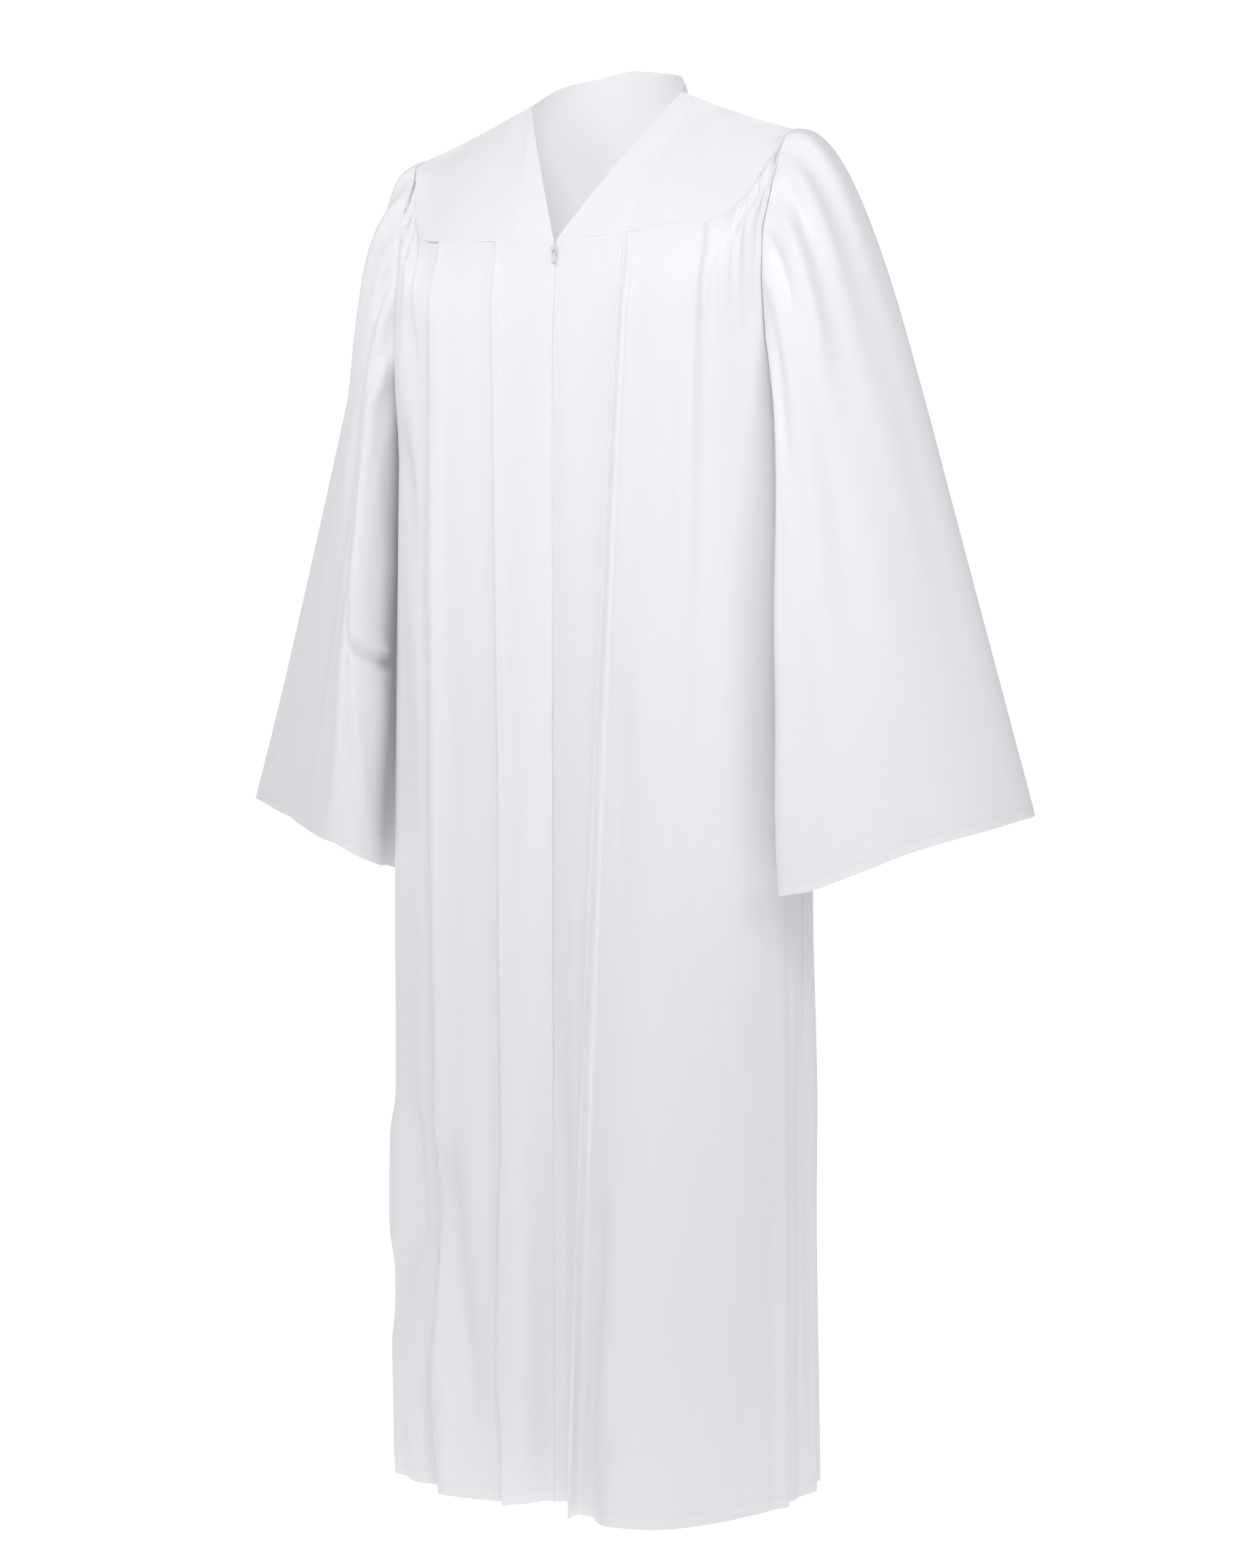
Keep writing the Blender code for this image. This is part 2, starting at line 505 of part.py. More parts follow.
def sleeve_grid(folds, hang):
    """Outer face of a sleeve on the wearer's left: each fold line is one cubic curve."""
    table = {key: np.array(values) for key, values in zip(SLEEVE_COLUMNS, zip(*folds))}
    rounds = table["round"]
    start = armhole_ring(rounds)
    end = np.stack([table["cuff_x"], table["cuff_y"], table["cuff_z"]], axis=1)
    high = np.cos(2 * np.pi * rounds)
    fore = np.sin(2 * np.pi * rounds)
    outer = (1 + high) / 2
    belly = np.exp(-((rounds - SLEEVE_BELLY["round"]) / SLEEVE_BELLY["width"]) ** 2)
    leave = start + np.stack([
        SLEEVE_INNER_LEAVE[0] * (1 - outer) + hang["leave"][0] * outer,
        SLEEVE_FORE_LEAVE * fore + SLEEVE_BELLY["leave"] * belly,
        SLEEVE_INNER_LEAVE[1] * (1 - outer) + hang["leave"][1] * outer], axis=1)
    arrive = end + np.stack([
        SLEEVE_INNER_ARRIVE[0] * (1 - outer) + hang["arrive"][0] * outer,
        SLEEVE_INNER_BEHIND * (1 - outer) + SLEEVE_OUTER_BEHIND * outer + SLEEVE_BELLY["arrive"] * belly,
        SLEEVE_INNER_ARRIVE[1] * (1 - outer) + hang["arrive"][1] * outer], axis=1)
    rows = []
    for t in SLEEVE_ROWS:
        rows.append((1 - t) ** 3 * start + 3 * t * (1 - t) ** 2 * leave
                    + 3 * t ** 2 * (1 - t) * arrive + t ** 3 * end)
    grid = np.array(rows)
    normals = grid_normals(grid, closed=True)
    for i, t in enumerate(SLEEVE_ROWS):
        cap = table["out_cap"]
        lower = [table[key] for key in ("out_upper", "out_middle", "out_cuff")]
        stops = np.array([SEAM_RELIEF * cap, cap, *lower])
        out = np.array([np.interp(t, SLEEVE_OUT_AT, stops[:, k]) for k in range(len(cap))])
        grid[i] += normals[i] * out[:, None]
    return grid


def wall_mesh(name, outer, inner, closed=False):
    """Closed wall between two grids of the same shape, outer face first."""
    rows, columns = outer.shape[:2]
    mesh = bmesh.new()
    front = [[mesh.verts.new(Vector(p)) for p in row] for row in outer]
    back = [[mesh.verts.new(Vector(p)) for p in row] for row in inner]
    last = columns if closed else columns - 1
    for i in range(rows - 1):
        for k in range(last):
            n = (k + 1) % columns
            mesh.faces.new((front[i][k], front[i][n], front[i + 1][n], front[i + 1][k]))
            mesh.faces.new((back[i][k], back[i + 1][k], back[i + 1][n], back[i][n]))
    for k in range(last):
        n = (k + 1) % columns
        mesh.faces.new((front[0][k], back[0][k], back[0][n], front[0][n]))
        mesh.faces.new((front[-1][k], front[-1][n], back[-1][n], back[-1][k]))
    if not closed:
        for i in range(rows - 1):
            mesh.faces.new((front[i][0], front[i + 1][0], back[i + 1][0], back[i][0]))
            mesh.faces.new((front[i][-1], back[i][-1], back[i + 1][-1], front[i + 1][-1]))
    bmesh.ops.recalc_face_normals(mesh, faces=mesh.faces)
    data = bpy.data.meshes.new(name)
    mesh.to_mesh(data)
    mesh.free()
    data.shade_smooth()
    data.set_sharp_from_angle(angle=np.radians(50))
    return data


def mirrored(grid):
    return grid * np.array([-1.0, 1.0, 1.0])


def add_wall(name, outer, normals, mirror=False, closed=False):
    inner = outer - normals * CLOTH
    if mirror:
        outer, inner = mirrored(outer), mirrored(inner)
    return add_object(name, wall_mesh(name, outer, inner, closed), cloth_material(name))


def build_front_panel(name, folds, mirror):
    grid = panel_grid(folds, "front")
    normals = -grid_normals(grid)
    slit = np.where(grid[:, 0, 2] > -YOKE_SEAM_DROP - ZIP_LENGTH, ZIP_SLIT / 2, SEAM_GAP / 2)
    grid[:, 0, 0] = slit
    finish_panel(name, grid, normals, mirror, folds, FRONT_YOKE_SEAM)


def build_back_panel(name, mirror):
    grid = panel_grid(back_folds(), "back")
    normals = grid_normals(grid)
    grid[:, 0, 0] = SEAM_GAP / 2
    finish_panel(name, grid, normals, mirror, back_folds(), BACK_YOKE_SEAM)


def finish_panel(name, grid, normals, mirror, folds, seam):
    """Squares the edges of a panel to its seams, then makes its wall."""
    towards = np.sign(grid[0, 0, 1])
    normals[:, 0, 0] = 0.0
    below_arm = grid[:, -1, 2] < ARMHOLE["height"][0]
    normals[below_arm, -1, 1] = 0.0
    grid[below_arm, -1, 1] += towards * SIDE_SEAM_HALF_GAP
    normals[0] = seam_normals(smooth_curve(seam), np.array(folds)[:, 0], towards)
    normals /= np.linalg.norm(normals, axis=2, keepdims=True)
    add_wall(name, grid, normals, mirror)


def build_front_yoke(name, folds, mirror):
    grid = front_yoke_grid(folds)
    normals = grid_normals(grid)
    grid[0, 0, 0] += ZIP_SLIT / 2
    normals[:, -1, 0] = 0.0
    normals[0] = seam_normals(smooth_curve(FRONT_YOKE_SEAM), np.array(folds)[:, 0], -1.0)
    normals[-1, :, 1] = 0.0
    normals /= np.linalg.norm(normals, axis=2, keepdims=True)
    add_wall(name, grid, normals, mirror)


def build_back_yoke():
    grid = back_yoke_grid()
    normals = -grid_normals(grid)
    half = np.array(back_folds())[:, 0]
    seam = seam_normals(smooth_curve(BACK_YOKE_SEAM), half, 1.0)
    normals[:, (0, -1), 0] = 0.0
    normals[0] = np.vstack([seam[:0:-1] * np.array([-1.0, 1.0, 1.0]), seam])
    on_shoulder = np.concatenate([half[:0:-1], half]) >= BACK_NECK_SHARE
    normals[-1, on_shoulder, 1] = 0.0
    normals /= np.linalg.norm(normals, axis=2, keepdims=True)
    add_wall("back_yoke", grid, normals)


def build_sleeve(name, folds, hang, mirror):
    grid = sleeve_grid(folds, hang)
    normals = grid_normals(grid, closed=True)
    add_wall(name, grid, normals, mirror, closed=True)


class CentreFront:
    """How far forward the centre front edge stands, by height."""

    def __init__(self):
        edge = panel_grid(FRONT_LEFT_FOLDS[:2], "front")[:, 0]
        self.heights = edge[:, 2]
        self.depths = edge[:, 1]

    def __call__(self, z):
        return np.interp(-z, -self.heights, self.depths)


def build_zip(front):
    """Tapes behind the fronts, with the closed chain standing in the slit between them."""
    tape = ZIP_TAPE_WIDTH / 2
    chain = ZIP_CHAIN_WIDTH / 2
    tape_front = CLOTH + ZIP_CLEARANCE
    tape_back = tape_front + ZIP_TAPE
    profile = (
        (-tape, tape_back), (tape, tape_back),
        (tape, tape_front), (chain, tape_front),
        (chain, ZIP_CHAIN_RECESS), (-chain, ZIP_CHAIN_RECESS),
        (-chain, tape_front), (-tape, tape_front),
    )
    mesh = bmesh.new()
    rings = []
    heights = [z for z in front.heights if ZIP_TOP > z > ZIP_BOTTOM]
    for z in [ZIP_TOP, *heights, ZIP_BOTTOM]:
        face = front(z)
        rings.append([mesh.verts.new((x, face + behind, z)) for x, behind in profile])
    for upper, lower in zip(rings, rings[1:]):
        for k in range(len(profile)):
            n = (k + 1) % len(profile)
            mesh.faces.new((upper[k], upper[n], lower[n], lower[k]))
    mesh.faces.new(rings[0])
    mesh.faces.new(rings[-1])
    bmesh.ops.recalc_face_normals(mesh, faces=mesh.faces)
    data = bpy.data.meshes.new("zip_chain")
    mesh.to_mesh(data)
    mesh.free()
    add_object("zip_chain", data, cloth_material("zip_chain"))


def prism(name, outline, depth, origin):
    """Solid of an outline in Y and Z, run out to both sides of X = 0, placed at origin."""
    mesh = bmesh.new()
    near = [mesh.verts.new((-depth / 2, y, z)) for y, z in outline]
    far = [mesh.verts.new((depth / 2, y, z)) for y, z in outline]
    mesh.faces.new(near)
    mesh.faces.new(far)
    for k in range(len(outline)):
        n = (k + 1) % len(outline)
        mesh.faces.new((near[k], near[n], far[n], far[k]))
    bmesh.ops.recalc_face_normals(mesh, faces=mesh.faces)
    data = bpy.data.meshes.new(name)
    mesh.to_mesh(data)
    mesh.free()
    thing = add_object(name, data, make_material(name, WHITE_METAL, 0.3, 0.6))
    thing.location = origin
    return thing


def rectangle(y0, y1, z0, z1):
    return ((y0, z0), (y1, z0), (y1, z1), (y0, z1))


def join_to(thing, others):
    for other in others:
        other.hide_render = True
        other.display_type = "WIRE"
        union = thing.modifiers.new("join_" + other.name, "BOOLEAN")
        union.operation = "UNION"
        union.object = other


def build_slider(front):
    """Slider body with a stem in the slit and a bail, and the pull tab that hangs in the bail."""
    face = front(SLIDER_Z) - SLIDER_CLEARANCE
    place = Vector((0.0, face, SLIDER_Z))
    half = SLIDER_HEIGHT / 2
    plate = prism("zip_slider", rectangle(0.0, -SLIDER_PLATE, -half, half), SLIDER_WIDTH, place)
    stem_tip = SLIDER_CLEARANCE + ZIP_CHAIN_RECESS - STEM_CLEAR
    stem_half = half * STEM_SHARE
    stem = prism("slider_stem", rectangle(stem_tip, -SLIDER_PLATE / 2, -stem_half, stem_half),
                 SLIDER_STEM, place)
    foot = -SLIDER_PLATE + BAIL_ROOT
    under = -SLIDER_PLATE - BAIL_CLEAR
    top = under - BAIL_BAR
    outer = BAIL_HEIGHT / 2
    inner = outer - BAIL_BAR
    bail_outline = (
        (foot, -outer), (top, -outer), (top, outer), (foot, outer),
        (foot, inner), (under, inner), (under, -inner), (foot, -inner),
    )
    bail = prism("slider_bail", bail_outline, BAIL_WIDTH, place)
    join_to(plate, (stem, bail))

    axis = Vector((0.0, face - SLIDER_PLATE - TAB_AXIS_STANDOFF, SLIDER_Z))
    thick = TAB_THICKNESS / 2
    tab = prism("zip_pull", rectangle(-thick, thick, -TAB_LENGTH, thick), TAB_WIDTH, axis)
    slot = prism("pull_slot", rectangle(-TAB_WIDTH, TAB_WIDTH, -TAB_SLOT, -thick), TAB_SLOT_WIDTH, axis)
    slot.hide_render = True
    slot.display_type = "WIRE"
    cut = tab.modifiers.new("slot", "BOOLEAN")
    cut.operation = "DIFFERENCE"
    cut.object = slot


def main():
    clear_scene()
    build_front_yoke("front_yoke_left", FRONT_LEFT_FOLDS, mirror=False)
    build_front_yoke("front_yoke_right", FRONT_RIGHT_FOLDS, mirror=True)
    build_back_yoke()
    build_front_panel("front_panel_left", FRONT_LEFT_FOLDS, mirror=False)
    build_front_panel("front_panel_right", FRONT_RIGHT_FOLDS, mirror=True)
    build_back_panel("back_panel_left", mirror=False)
    build_back_panel("back_panel_right", mirror=True)
    build_sleeve("sleeve_left", SLEEVE_LEFT_FOLDS, SLEEVE_LEFT_HANG, mirror=False)
    build_sleeve("sleeve_right", SLEEVE_RIGHT_FOLDS, SLEEVE_RIGHT_HANG, mirror=True)
    front = CentreFront()
    build_zip(front)
    build_slider(front)


main()
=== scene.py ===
"""Dressed scene of the choir robe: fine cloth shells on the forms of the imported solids.

The row frame holds throughout: +Z up, front towards -Y, metres, the wearer's left is +X.
"""

import bpy
import numpy as np
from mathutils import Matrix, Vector


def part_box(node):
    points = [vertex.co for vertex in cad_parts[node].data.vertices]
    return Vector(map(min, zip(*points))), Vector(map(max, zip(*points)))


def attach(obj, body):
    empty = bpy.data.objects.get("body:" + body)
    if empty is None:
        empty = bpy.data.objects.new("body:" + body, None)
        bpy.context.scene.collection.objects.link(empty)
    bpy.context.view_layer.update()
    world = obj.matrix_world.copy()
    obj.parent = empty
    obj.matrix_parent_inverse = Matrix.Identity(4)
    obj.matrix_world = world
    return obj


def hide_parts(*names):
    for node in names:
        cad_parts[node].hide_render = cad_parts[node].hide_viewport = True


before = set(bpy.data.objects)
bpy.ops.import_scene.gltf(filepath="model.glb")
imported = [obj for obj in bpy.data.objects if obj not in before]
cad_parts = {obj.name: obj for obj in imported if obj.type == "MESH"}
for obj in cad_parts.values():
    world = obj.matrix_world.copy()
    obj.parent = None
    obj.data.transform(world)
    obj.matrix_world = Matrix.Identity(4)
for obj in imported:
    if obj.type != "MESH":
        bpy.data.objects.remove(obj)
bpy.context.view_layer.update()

# Camera, fitted to the photograph: 1725 x 2156 pixels
VIEW_WIDTH = 1725
CAMERA_TURN = np.radians(24.32)
CAMERA_DISTANCE = 3.0
CAMERA_HEIGHT = -0.617
CAMERA_TILT = np.radians(1.29)
CAMERA_ASIDE = 0.0212
CAMERA_FOCAL_PIXELS = 4110.0
SENSOR = 36.0
AHEAD = (-np.sin(CAMERA_TURN), np.cos(CAMERA_TURN), 0.0)


def linked(name, data):
    """New object of the scene that shows the given mesh, camera or lamp."""
    thing = bpy.data.objects.new(name, data)
    bpy.context.scene.collection.objects.link(thing)
    return thing


def add_camera():
    data = bpy.data.cameras.new("camera")
    data.sensor_fit = "HORIZONTAL"
    data.sensor_width = SENSOR
    data.lens = CAMERA_FOCAL_PIXELS / VIEW_WIDTH * SENSOR
    camera = linked("camera", data)
    aside = Vector((np.cos(CAMERA_TURN), np.sin(CAMERA_TURN), 0.0))
    away = Vector((0.0, 0.0, CAMERA_HEIGHT)) - Vector(AHEAD) * CAMERA_DISTANCE
    camera.location = aside * CAMERA_ASIDE + away
    camera.rotation_euler = (np.pi / 2 - CAMERA_TILT, 0.0, CAMERA_TURN)
    bpy.context.scene.camera = camera


add_camera()

# Driving sizes
ROBE_LENGTH = 1.38          # neck side point down to the hem
SEAM_GAP = 0.0003           # between neighbouring pieces
NECK_HALF_WIDTH = 0.083
BACK_NECK_RISE = 0.040      # back neck above the neck side points
BACK_NECK_DEPTH = 0.062
YOKE_SEAM_DROP = 0.158      # neck side point down to the bottom of the V
CHEST_DEPTH = 0.118         # centre front at the yoke seam, forward of the shoulder line
ZIP_LENGTH = 0.75
HEM_Z = -ROBE_LENGTH

# Body section at five heights: half width, depth in front of and behind the shoulder line,
# and how square the corners are (2 is an ellipse)
SECTIONS = {
    "height": (-0.06, -0.20, -0.36, -0.70, HEM_Z),
    "half_width": (0.200, 0.2045, 0.206, 0.211, 0.213),
    "front": (0.100, 0.124, 0.129, 0.136, 0.150),
    "back": (0.085, 0.112, 0.113, 0.102, 0.146),
    "square": (4.0, 4.0, 3.0, 2.6, 2.35),
}

# Armhole: how far its front and back edges stand from the shoulder line, by height
ARMHOLE = {
    "height": (-0.335, -0.325, -0.300, -0.255, -0.200, -0.150, -0.100, -0.058),
    "front": (0.000, 0.028, 0.052, 0.070, 0.076, 0.070, 0.050, 0.026),
    "back": (0.000, 0.030, 0.056, 0.074, 0.080, 0.074, 0.052, 0.024),
}
ARMHOLE_STEP = 0.008

# Yoke seams from the centre to the shoulder tip: x, y, z
FRONT_YOKE_SEAM = (
    (0.000, -CHEST_DEPTH, -YOKE_SEAM_DROP),
    (0.060, -0.117, -0.155),
    (0.120, -0.107, -0.150),
    (0.158, -0.092, -0.143),
    (0.178, -0.069, -0.119),
    (0.190, -0.047, -0.089),
    (0.201, -0.026, -0.058),
)
BACK_YOKE_SEAM = (
    (0.000, 0.104, -0.150),
    (0.060, 0.103, -0.148),
    (0.120, 0.096, -0.142),
    (0.158, 0.083, -0.130),
    (0.179, 0.064, -0.108),
    (0.191, 0.043, -0.082),
    (0.201, 0.022, -0.057),
)
SHOULDER_TIP = (0.2025, -0.003, -0.047)
SHOULDER_SAG = 0.002        # how far the shoulder line dips between neck and tip

# Fold lines of the fronts, from the centre out. Place is the share of the panel's width at the
# yoke and at the hem, and out is how far the line stands proud of the plain section at the
# yoke, half way down and at the hem.
# Columns: place_top, place_hem, out_top, out_middle, out_hem
FRONT_LEFT_FOLDS = (
    (0.000, 0.000, 0.0000, -0.0140, -0.030),
    (0.055, 0.040, 0.0015, -0.0080, -0.024),
    (0.150, 0.075, -0.0005, -0.0010, -0.007),
    (0.232, 0.112, 0.0020, 0.0040, 0.004),
    (0.258, 0.128, 0.0060, 0.0100, 0.022),
    (0.272, 0.140, -0.0020, -0.0030, 0.006),
    (0.310, 0.180, -0.0010, -0.0060, 0.014),
    (0.390, 0.270, 0.0040, 0.0080, 0.038),
    (0.470, 0.370, 0.0050, 0.0100, 0.044),
    (0.530, 0.440, 0.0065, 0.0070, 0.040),
    (0.555, 0.500, -0.0030, 0.0030, 0.031),
    (0.590, 0.570, 0.0010, 0.0040, 0.022),
    (0.625, 0.640, 0.0028, 0.0045, 0.014),
    (0.665, 0.690, 0.0005, 0.0035, 0.009),
    (0.710, 0.740, 0.0025, 0.0030, 0.006),
    (0.750, 0.790, -0.0020, 0.0015, 0.003),
    (0.800, 0.850, 0.0030, 0.0060, 0.007),
    (0.845, 0.895, -0.0030, -0.0020, -0.004),
    (0.900, 0.930, 0.0020, 0.0005, -0.001),
    (0.950, 0.965, -0.0015, -0.0020, -0.003),
    (1.000, 1.000, 0.0000, 0.0000, 0.000),
)
FRONT_RIGHT_FOLDS = (
    (0.000, 0.000, 0.0000, -0.0140, -0.030),
    (0.060, 0.040, 0.0020, -0.0060, -0.020),
    (0.140, 0.075, 0.0010, 0.0010, -0.008),
    (0.203, 0.112, 0.0020, 0.0030, 0.000),
    (0.227, 0.133, 0.0060, 0.0090, 0.008),
    (0.241, 0.147, -0.0025, -0.0040, -0.006),
    (0.290, 0.200, -0.0010, 0.0005, -0.004),
    (0.360, 0.280, 0.0025, 0.0045, 0.002),
    (0.415, 0.335, 0.0030, 0.0060, 0.004),
    (0.455, 0.375, 0.0060, 0.0100, 0.006),
    (0.478, 0.400, 0.0100, 0.0130, 0.006),
    (0.493, 0.415, -0.0070, -0.0100, 0.000),
    (0.545, 0.480, -0.0060, -0.0160, -0.010),
    (0.610, 0.560, 0.0020, -0.0050, -0.002),
    (0.665, 0.640, -0.0040, -0.0020, -0.003),
    (0.740, 0.715, 0.0030, 0.0070, 0.006),
    (0.780, 0.770, -0.0030, 0.0050, 0.003),
    (0.840, 0.840, 0.0030, 0.0080, 0.006),
    (0.880, 0.890, -0.0030, 0.0020, 0.000),
    (0.940, 0.945, 0.0020, 0.0035, 0.003),
    (1.000, 1.000, 0.0000, 0.0000, 0.000),
)

# The back is fluted: one entry here for each flute of a half, from the centre out, saying how much
# wider and deeper than the plain flute it is. The last two, by the side seam, are flatter.
BACK_FLUTE_DEPTH = {"top": 0.0035, "middle": 0.0085, "hem": 0.013}
FLUTE_PROFILE = ((0.25, 0.55), (0.5, 1.0), (0.75, 0.55))
FLUTE_TROUGH = 0.6
BACK_FLUTE_UNEVEN = (0.16, 0.40, -0.28, 0.32, -0.38, 0.30, 0.20)
BACK_FLUTE_SIDE = 0.4       # depth of the last two as a share of the others'

# Fold lines round a sleeve. Round is the share of the way from the shoulder tip forwards, down
# to the underarm and up the back. The cuff columns give where the line ends: x, y and drop.
# Out is the relief at the gathered cap, below the cap, half way down and at the cuff.
# Columns: round, cuff_x, cuff_y, cuff_z, out_cap, out_upper, out_middle, out_cuff
SLEEVE_LEFT_FOLDS = (
    (0.000, 0.435, 0.030, -0.7123, 0.000, 0.000, 0.000, 0.000),
    (0.030, 0.429, 0.008, -0.7154, 0.006, 0.005, 0.003, 0.000),
    (0.060, 0.418, -0.014, -0.7201, -0.005, -0.002, 0.000, 0.001),
    (0.095, 0.403, -0.035, -0.7258, 0.006, 0.006, 0.004, 0.002),
    (0.130, 0.386, -0.054, -0.7313, -0.005, -0.003, -0.001, 0.003),
    (0.170, 0.364, -0.071, -0.7389, 0.005, 0.006, 0.004, 0.003),
    (0.210, 0.341, -0.086, -0.7476, -0.004, -0.003, 0.000, 0.002),
    (0.250, 0.316, -0.099, -0.7590, 0.004, 0.005, 0.004, 0.001),
    (0.295, 0.290, -0.110, -0.7697, -0.003, -0.003, 0.000, 0.000),
    (0.340, 0.265, -0.118, -0.7797, 0.002, 0.002, 0.002, 0.000),
    (0.385, 0.244, -0.121, -0.7833, -0.001, 0.000, 0.001, 0.000),
    (0.420, 0.231, -0.116, -0.7855, 0.000, 0.000, 0.000, 0.000),
    (0.450, 0.227, -0.102, -0.7862, 0.000, 0.000, 0.000, 0.000),
    (0.485, 0.229, -0.075, -0.7858, 0.000, 0.000, 0.000, 0.000),
    (0.520, 0.234, -0.045, -0.7815, 0.000, 0.000, -0.002, 0.000),
    (0.560, 0.240, -0.013, -0.7772, 0.000, 0.000, 0.001, 0.000),
    (0.600, 0.246, 0.020, -0.7723, 0.001, 0.001, 0.003, 0.000),
    (0.645, 0.256, 0.049, -0.7662, -0.001, -0.001, 0.000, 0.000),
    (0.690, 0.274, 0.072, -0.7569, 0.003, 0.004, 0.004, 0.002),
    (0.735, 0.297, 0.088, -0.7468, -0.003, -0.002, -0.001, 0.003),
    (0.780, 0.323, 0.097, -0.7383, 0.005, 0.005, 0.004, 0.003),
    (0.820, 0.349, 0.099, -0.7308, -0.004, -0.002, 0.000, 0.002),
    (0.860, 0.376, 0.094, -0.7233, 0.005, 0.005, 0.004, 0.001),
    (0.900, 0.399, 0.083, -0.7168, -0.005, -0.002, 0.000, 0.000),
    (0.935, 0.416, 0.068, -0.7125, 0.006, 0.005, 0.003, 0.000),
    (0.970, 0.429, 0.050, -0.7095, -0.004, -0.002, 0.000, 0.000),
)
SLEEVE_RIGHT_FOLDS = (
    (0.000, 0.430, 0.036, -0.7049, 0.000, -0.004, -0.004, 0.000),
    (0.030, 0.419, 0.022, -0.7056, 0.005, -0.006, -0.006, 0.000),
    (0.060, 0.406, 0.009, -0.7075, -0.004, -0.002, -0.007, 0.001),
    (0.095, 0.391, -0.006, -0.7098, 0.006, 0.010, -0.004, 0.002),
    (0.130, 0.374, -0.021, -0.7130, -0.002, 0.013, 0.002, 0.002),
    (0.170, 0.354, -0.039, -0.7167, 0.005, 0.004, 0.006, 0.001),
    (0.210, 0.333, -0.058, -0.7208, -0.005, -0.008, 0.005, 0.000),
    (0.250, 0.311, -0.078, -0.7257, 0.004, -0.003, -0.001, 0.000),
    (0.295, 0.288, -0.098, -0.7312, -0.004, 0.003, -0.005, 0.002),
    (0.340, 0.264, -0.113, -0.7383, 0.003, -0.004, 0.000, 0.004),
    (0.385, 0.244, -0.118, -0.7444, -0.002, -0.003, 0.005, 0.003),
    (0.420, 0.228, -0.110, -0.7551, 0.000, 0.002, 0.005, 0.000),
    (0.450, 0.220, -0.094, -0.7620, 0.000, 0.003, 0.006, 0.000),
    (0.485, 0.220, -0.068, -0.7676, 0.000, 0.001, 0.002, 0.000),
    (0.520, 0.229, -0.040, -0.7688, 0.000, -0.001, -0.002, 0.000),
    (0.560, 0.237, -0.010, -0.7726, 0.000, 0.000, 0.000, 0.000),
    (0.600, 0.246, 0.020, -0.7746, 0.001, 0.001, 0.003, 0.000),
    (0.645, 0.256, 0.049, -0.7730, -0.001, -0.001, 0.000, 0.000),
    (0.690, 0.274, 0.072, -0.7650, 0.003, 0.004, 0.004, 0.002),
    (0.735, 0.297, 0.088, -0.7560, -0.003, -0.002, -0.001, 0.003),
    (0.780, 0.323, 0.097, -0.7450, 0.005, 0.005, 0.004, 0.003),
    (0.820, 0.348, 0.099, -0.7340, -0.004, -0.002, 0.000, 0.002),
    (0.860, 0.373, 0.095, -0.7220, 0.005, 0.005, 0.004, 0.001),
    (0.900, 0.396, 0.085, -0.7130, -0.005, -0.002, 0.000, 0.000),
    (0.935, 0.412, 0.070, -0.7070, 0.006, 0.003, 0.000, 0.000),
    (0.970, 0.424, 0.053, -0.7020, -0.004, -0.002, -0.002, 0.000),
)
# How each sleeve leaves the armhole and reaches the cuff at its outer line: the handles of the
# line's cubic curve, across and up
SLEEVE_LEFT_HANG = {"leave": (0.064, 0.005), "arrive": (-0.132, 0.512)}
SLEEVE_RIGHT_HANG = {"leave": (0.055, -0.004), "arrive": (-0.152, 0.470)}
SLEEVE_INNER_LEAVE = (0.018, -0.065)
SLEEVE_INNER_ARRIVE = (-0.003, 0.220)
SLEEVE_OUT_AT = (0.0, 0.10, 0.30, 0.55, 1.0)
SEAM_RELIEF = 0.25          # share of the cap's relief right at the armhole
SLEEVE_FORE_LEAVE = -0.022  # the front and back lines leave the armhole forwards and backwards
SLEEVE_INNER_BEHIND = 0.020
SLEEVE_OUTER_BEHIND = -0.030
# The front inner edge of a sleeve bellies forwards: where round the sleeve, how wide, how far
SLEEVE_BELLY = {"round": 0.40, "width": 0.08, "leave": -0.030, "arrive": -0.022}
SHELL_STANDOFF = 0.0006     # the cap starts this far outside the armhole edge

YOKE_BULGE = 0.004
BACK_NECK = (
    (0.000, BACK_NECK_DEPTH, BACK_NECK_RISE),
    (0.038, 0.056, 0.033),
    (0.068, 0.034, 0.022),
    (NECK_HALF_WIDTH, SEAM_GAP, 0.000),
)
BACK_NECK_SHARE = 0.45      # share of half the back yoke's width that the neck takes
FREE_SHARE = 0.55           # folds nearer the centre than this hang free of the armhole
FOLD_DRIFT = 1.7            # power of the drift of a fold line between yoke and hem
TOP_RELIEF = 0.35           # share of a fold's relief right at the yoke seam
TOP_RELIEF_END = 0.05       # share of the panel's length by which the relief is whole
SEAM_REACH_CENTRE = 0.10    # drop below the yoke seam by which a fold reaches the plain section
SEAM_REACH_TIP = 0.05
SEAM_REACH_EDGE = 0.02
SEAM_EDGE_FROM = 0.985      # share of the width from which the side seam's edge begins
RUN_STEP = 0.004            # half the length over which a section's direction is read
SEAM_STEP = 0.01            # the same along a yoke seam, as a share of its length

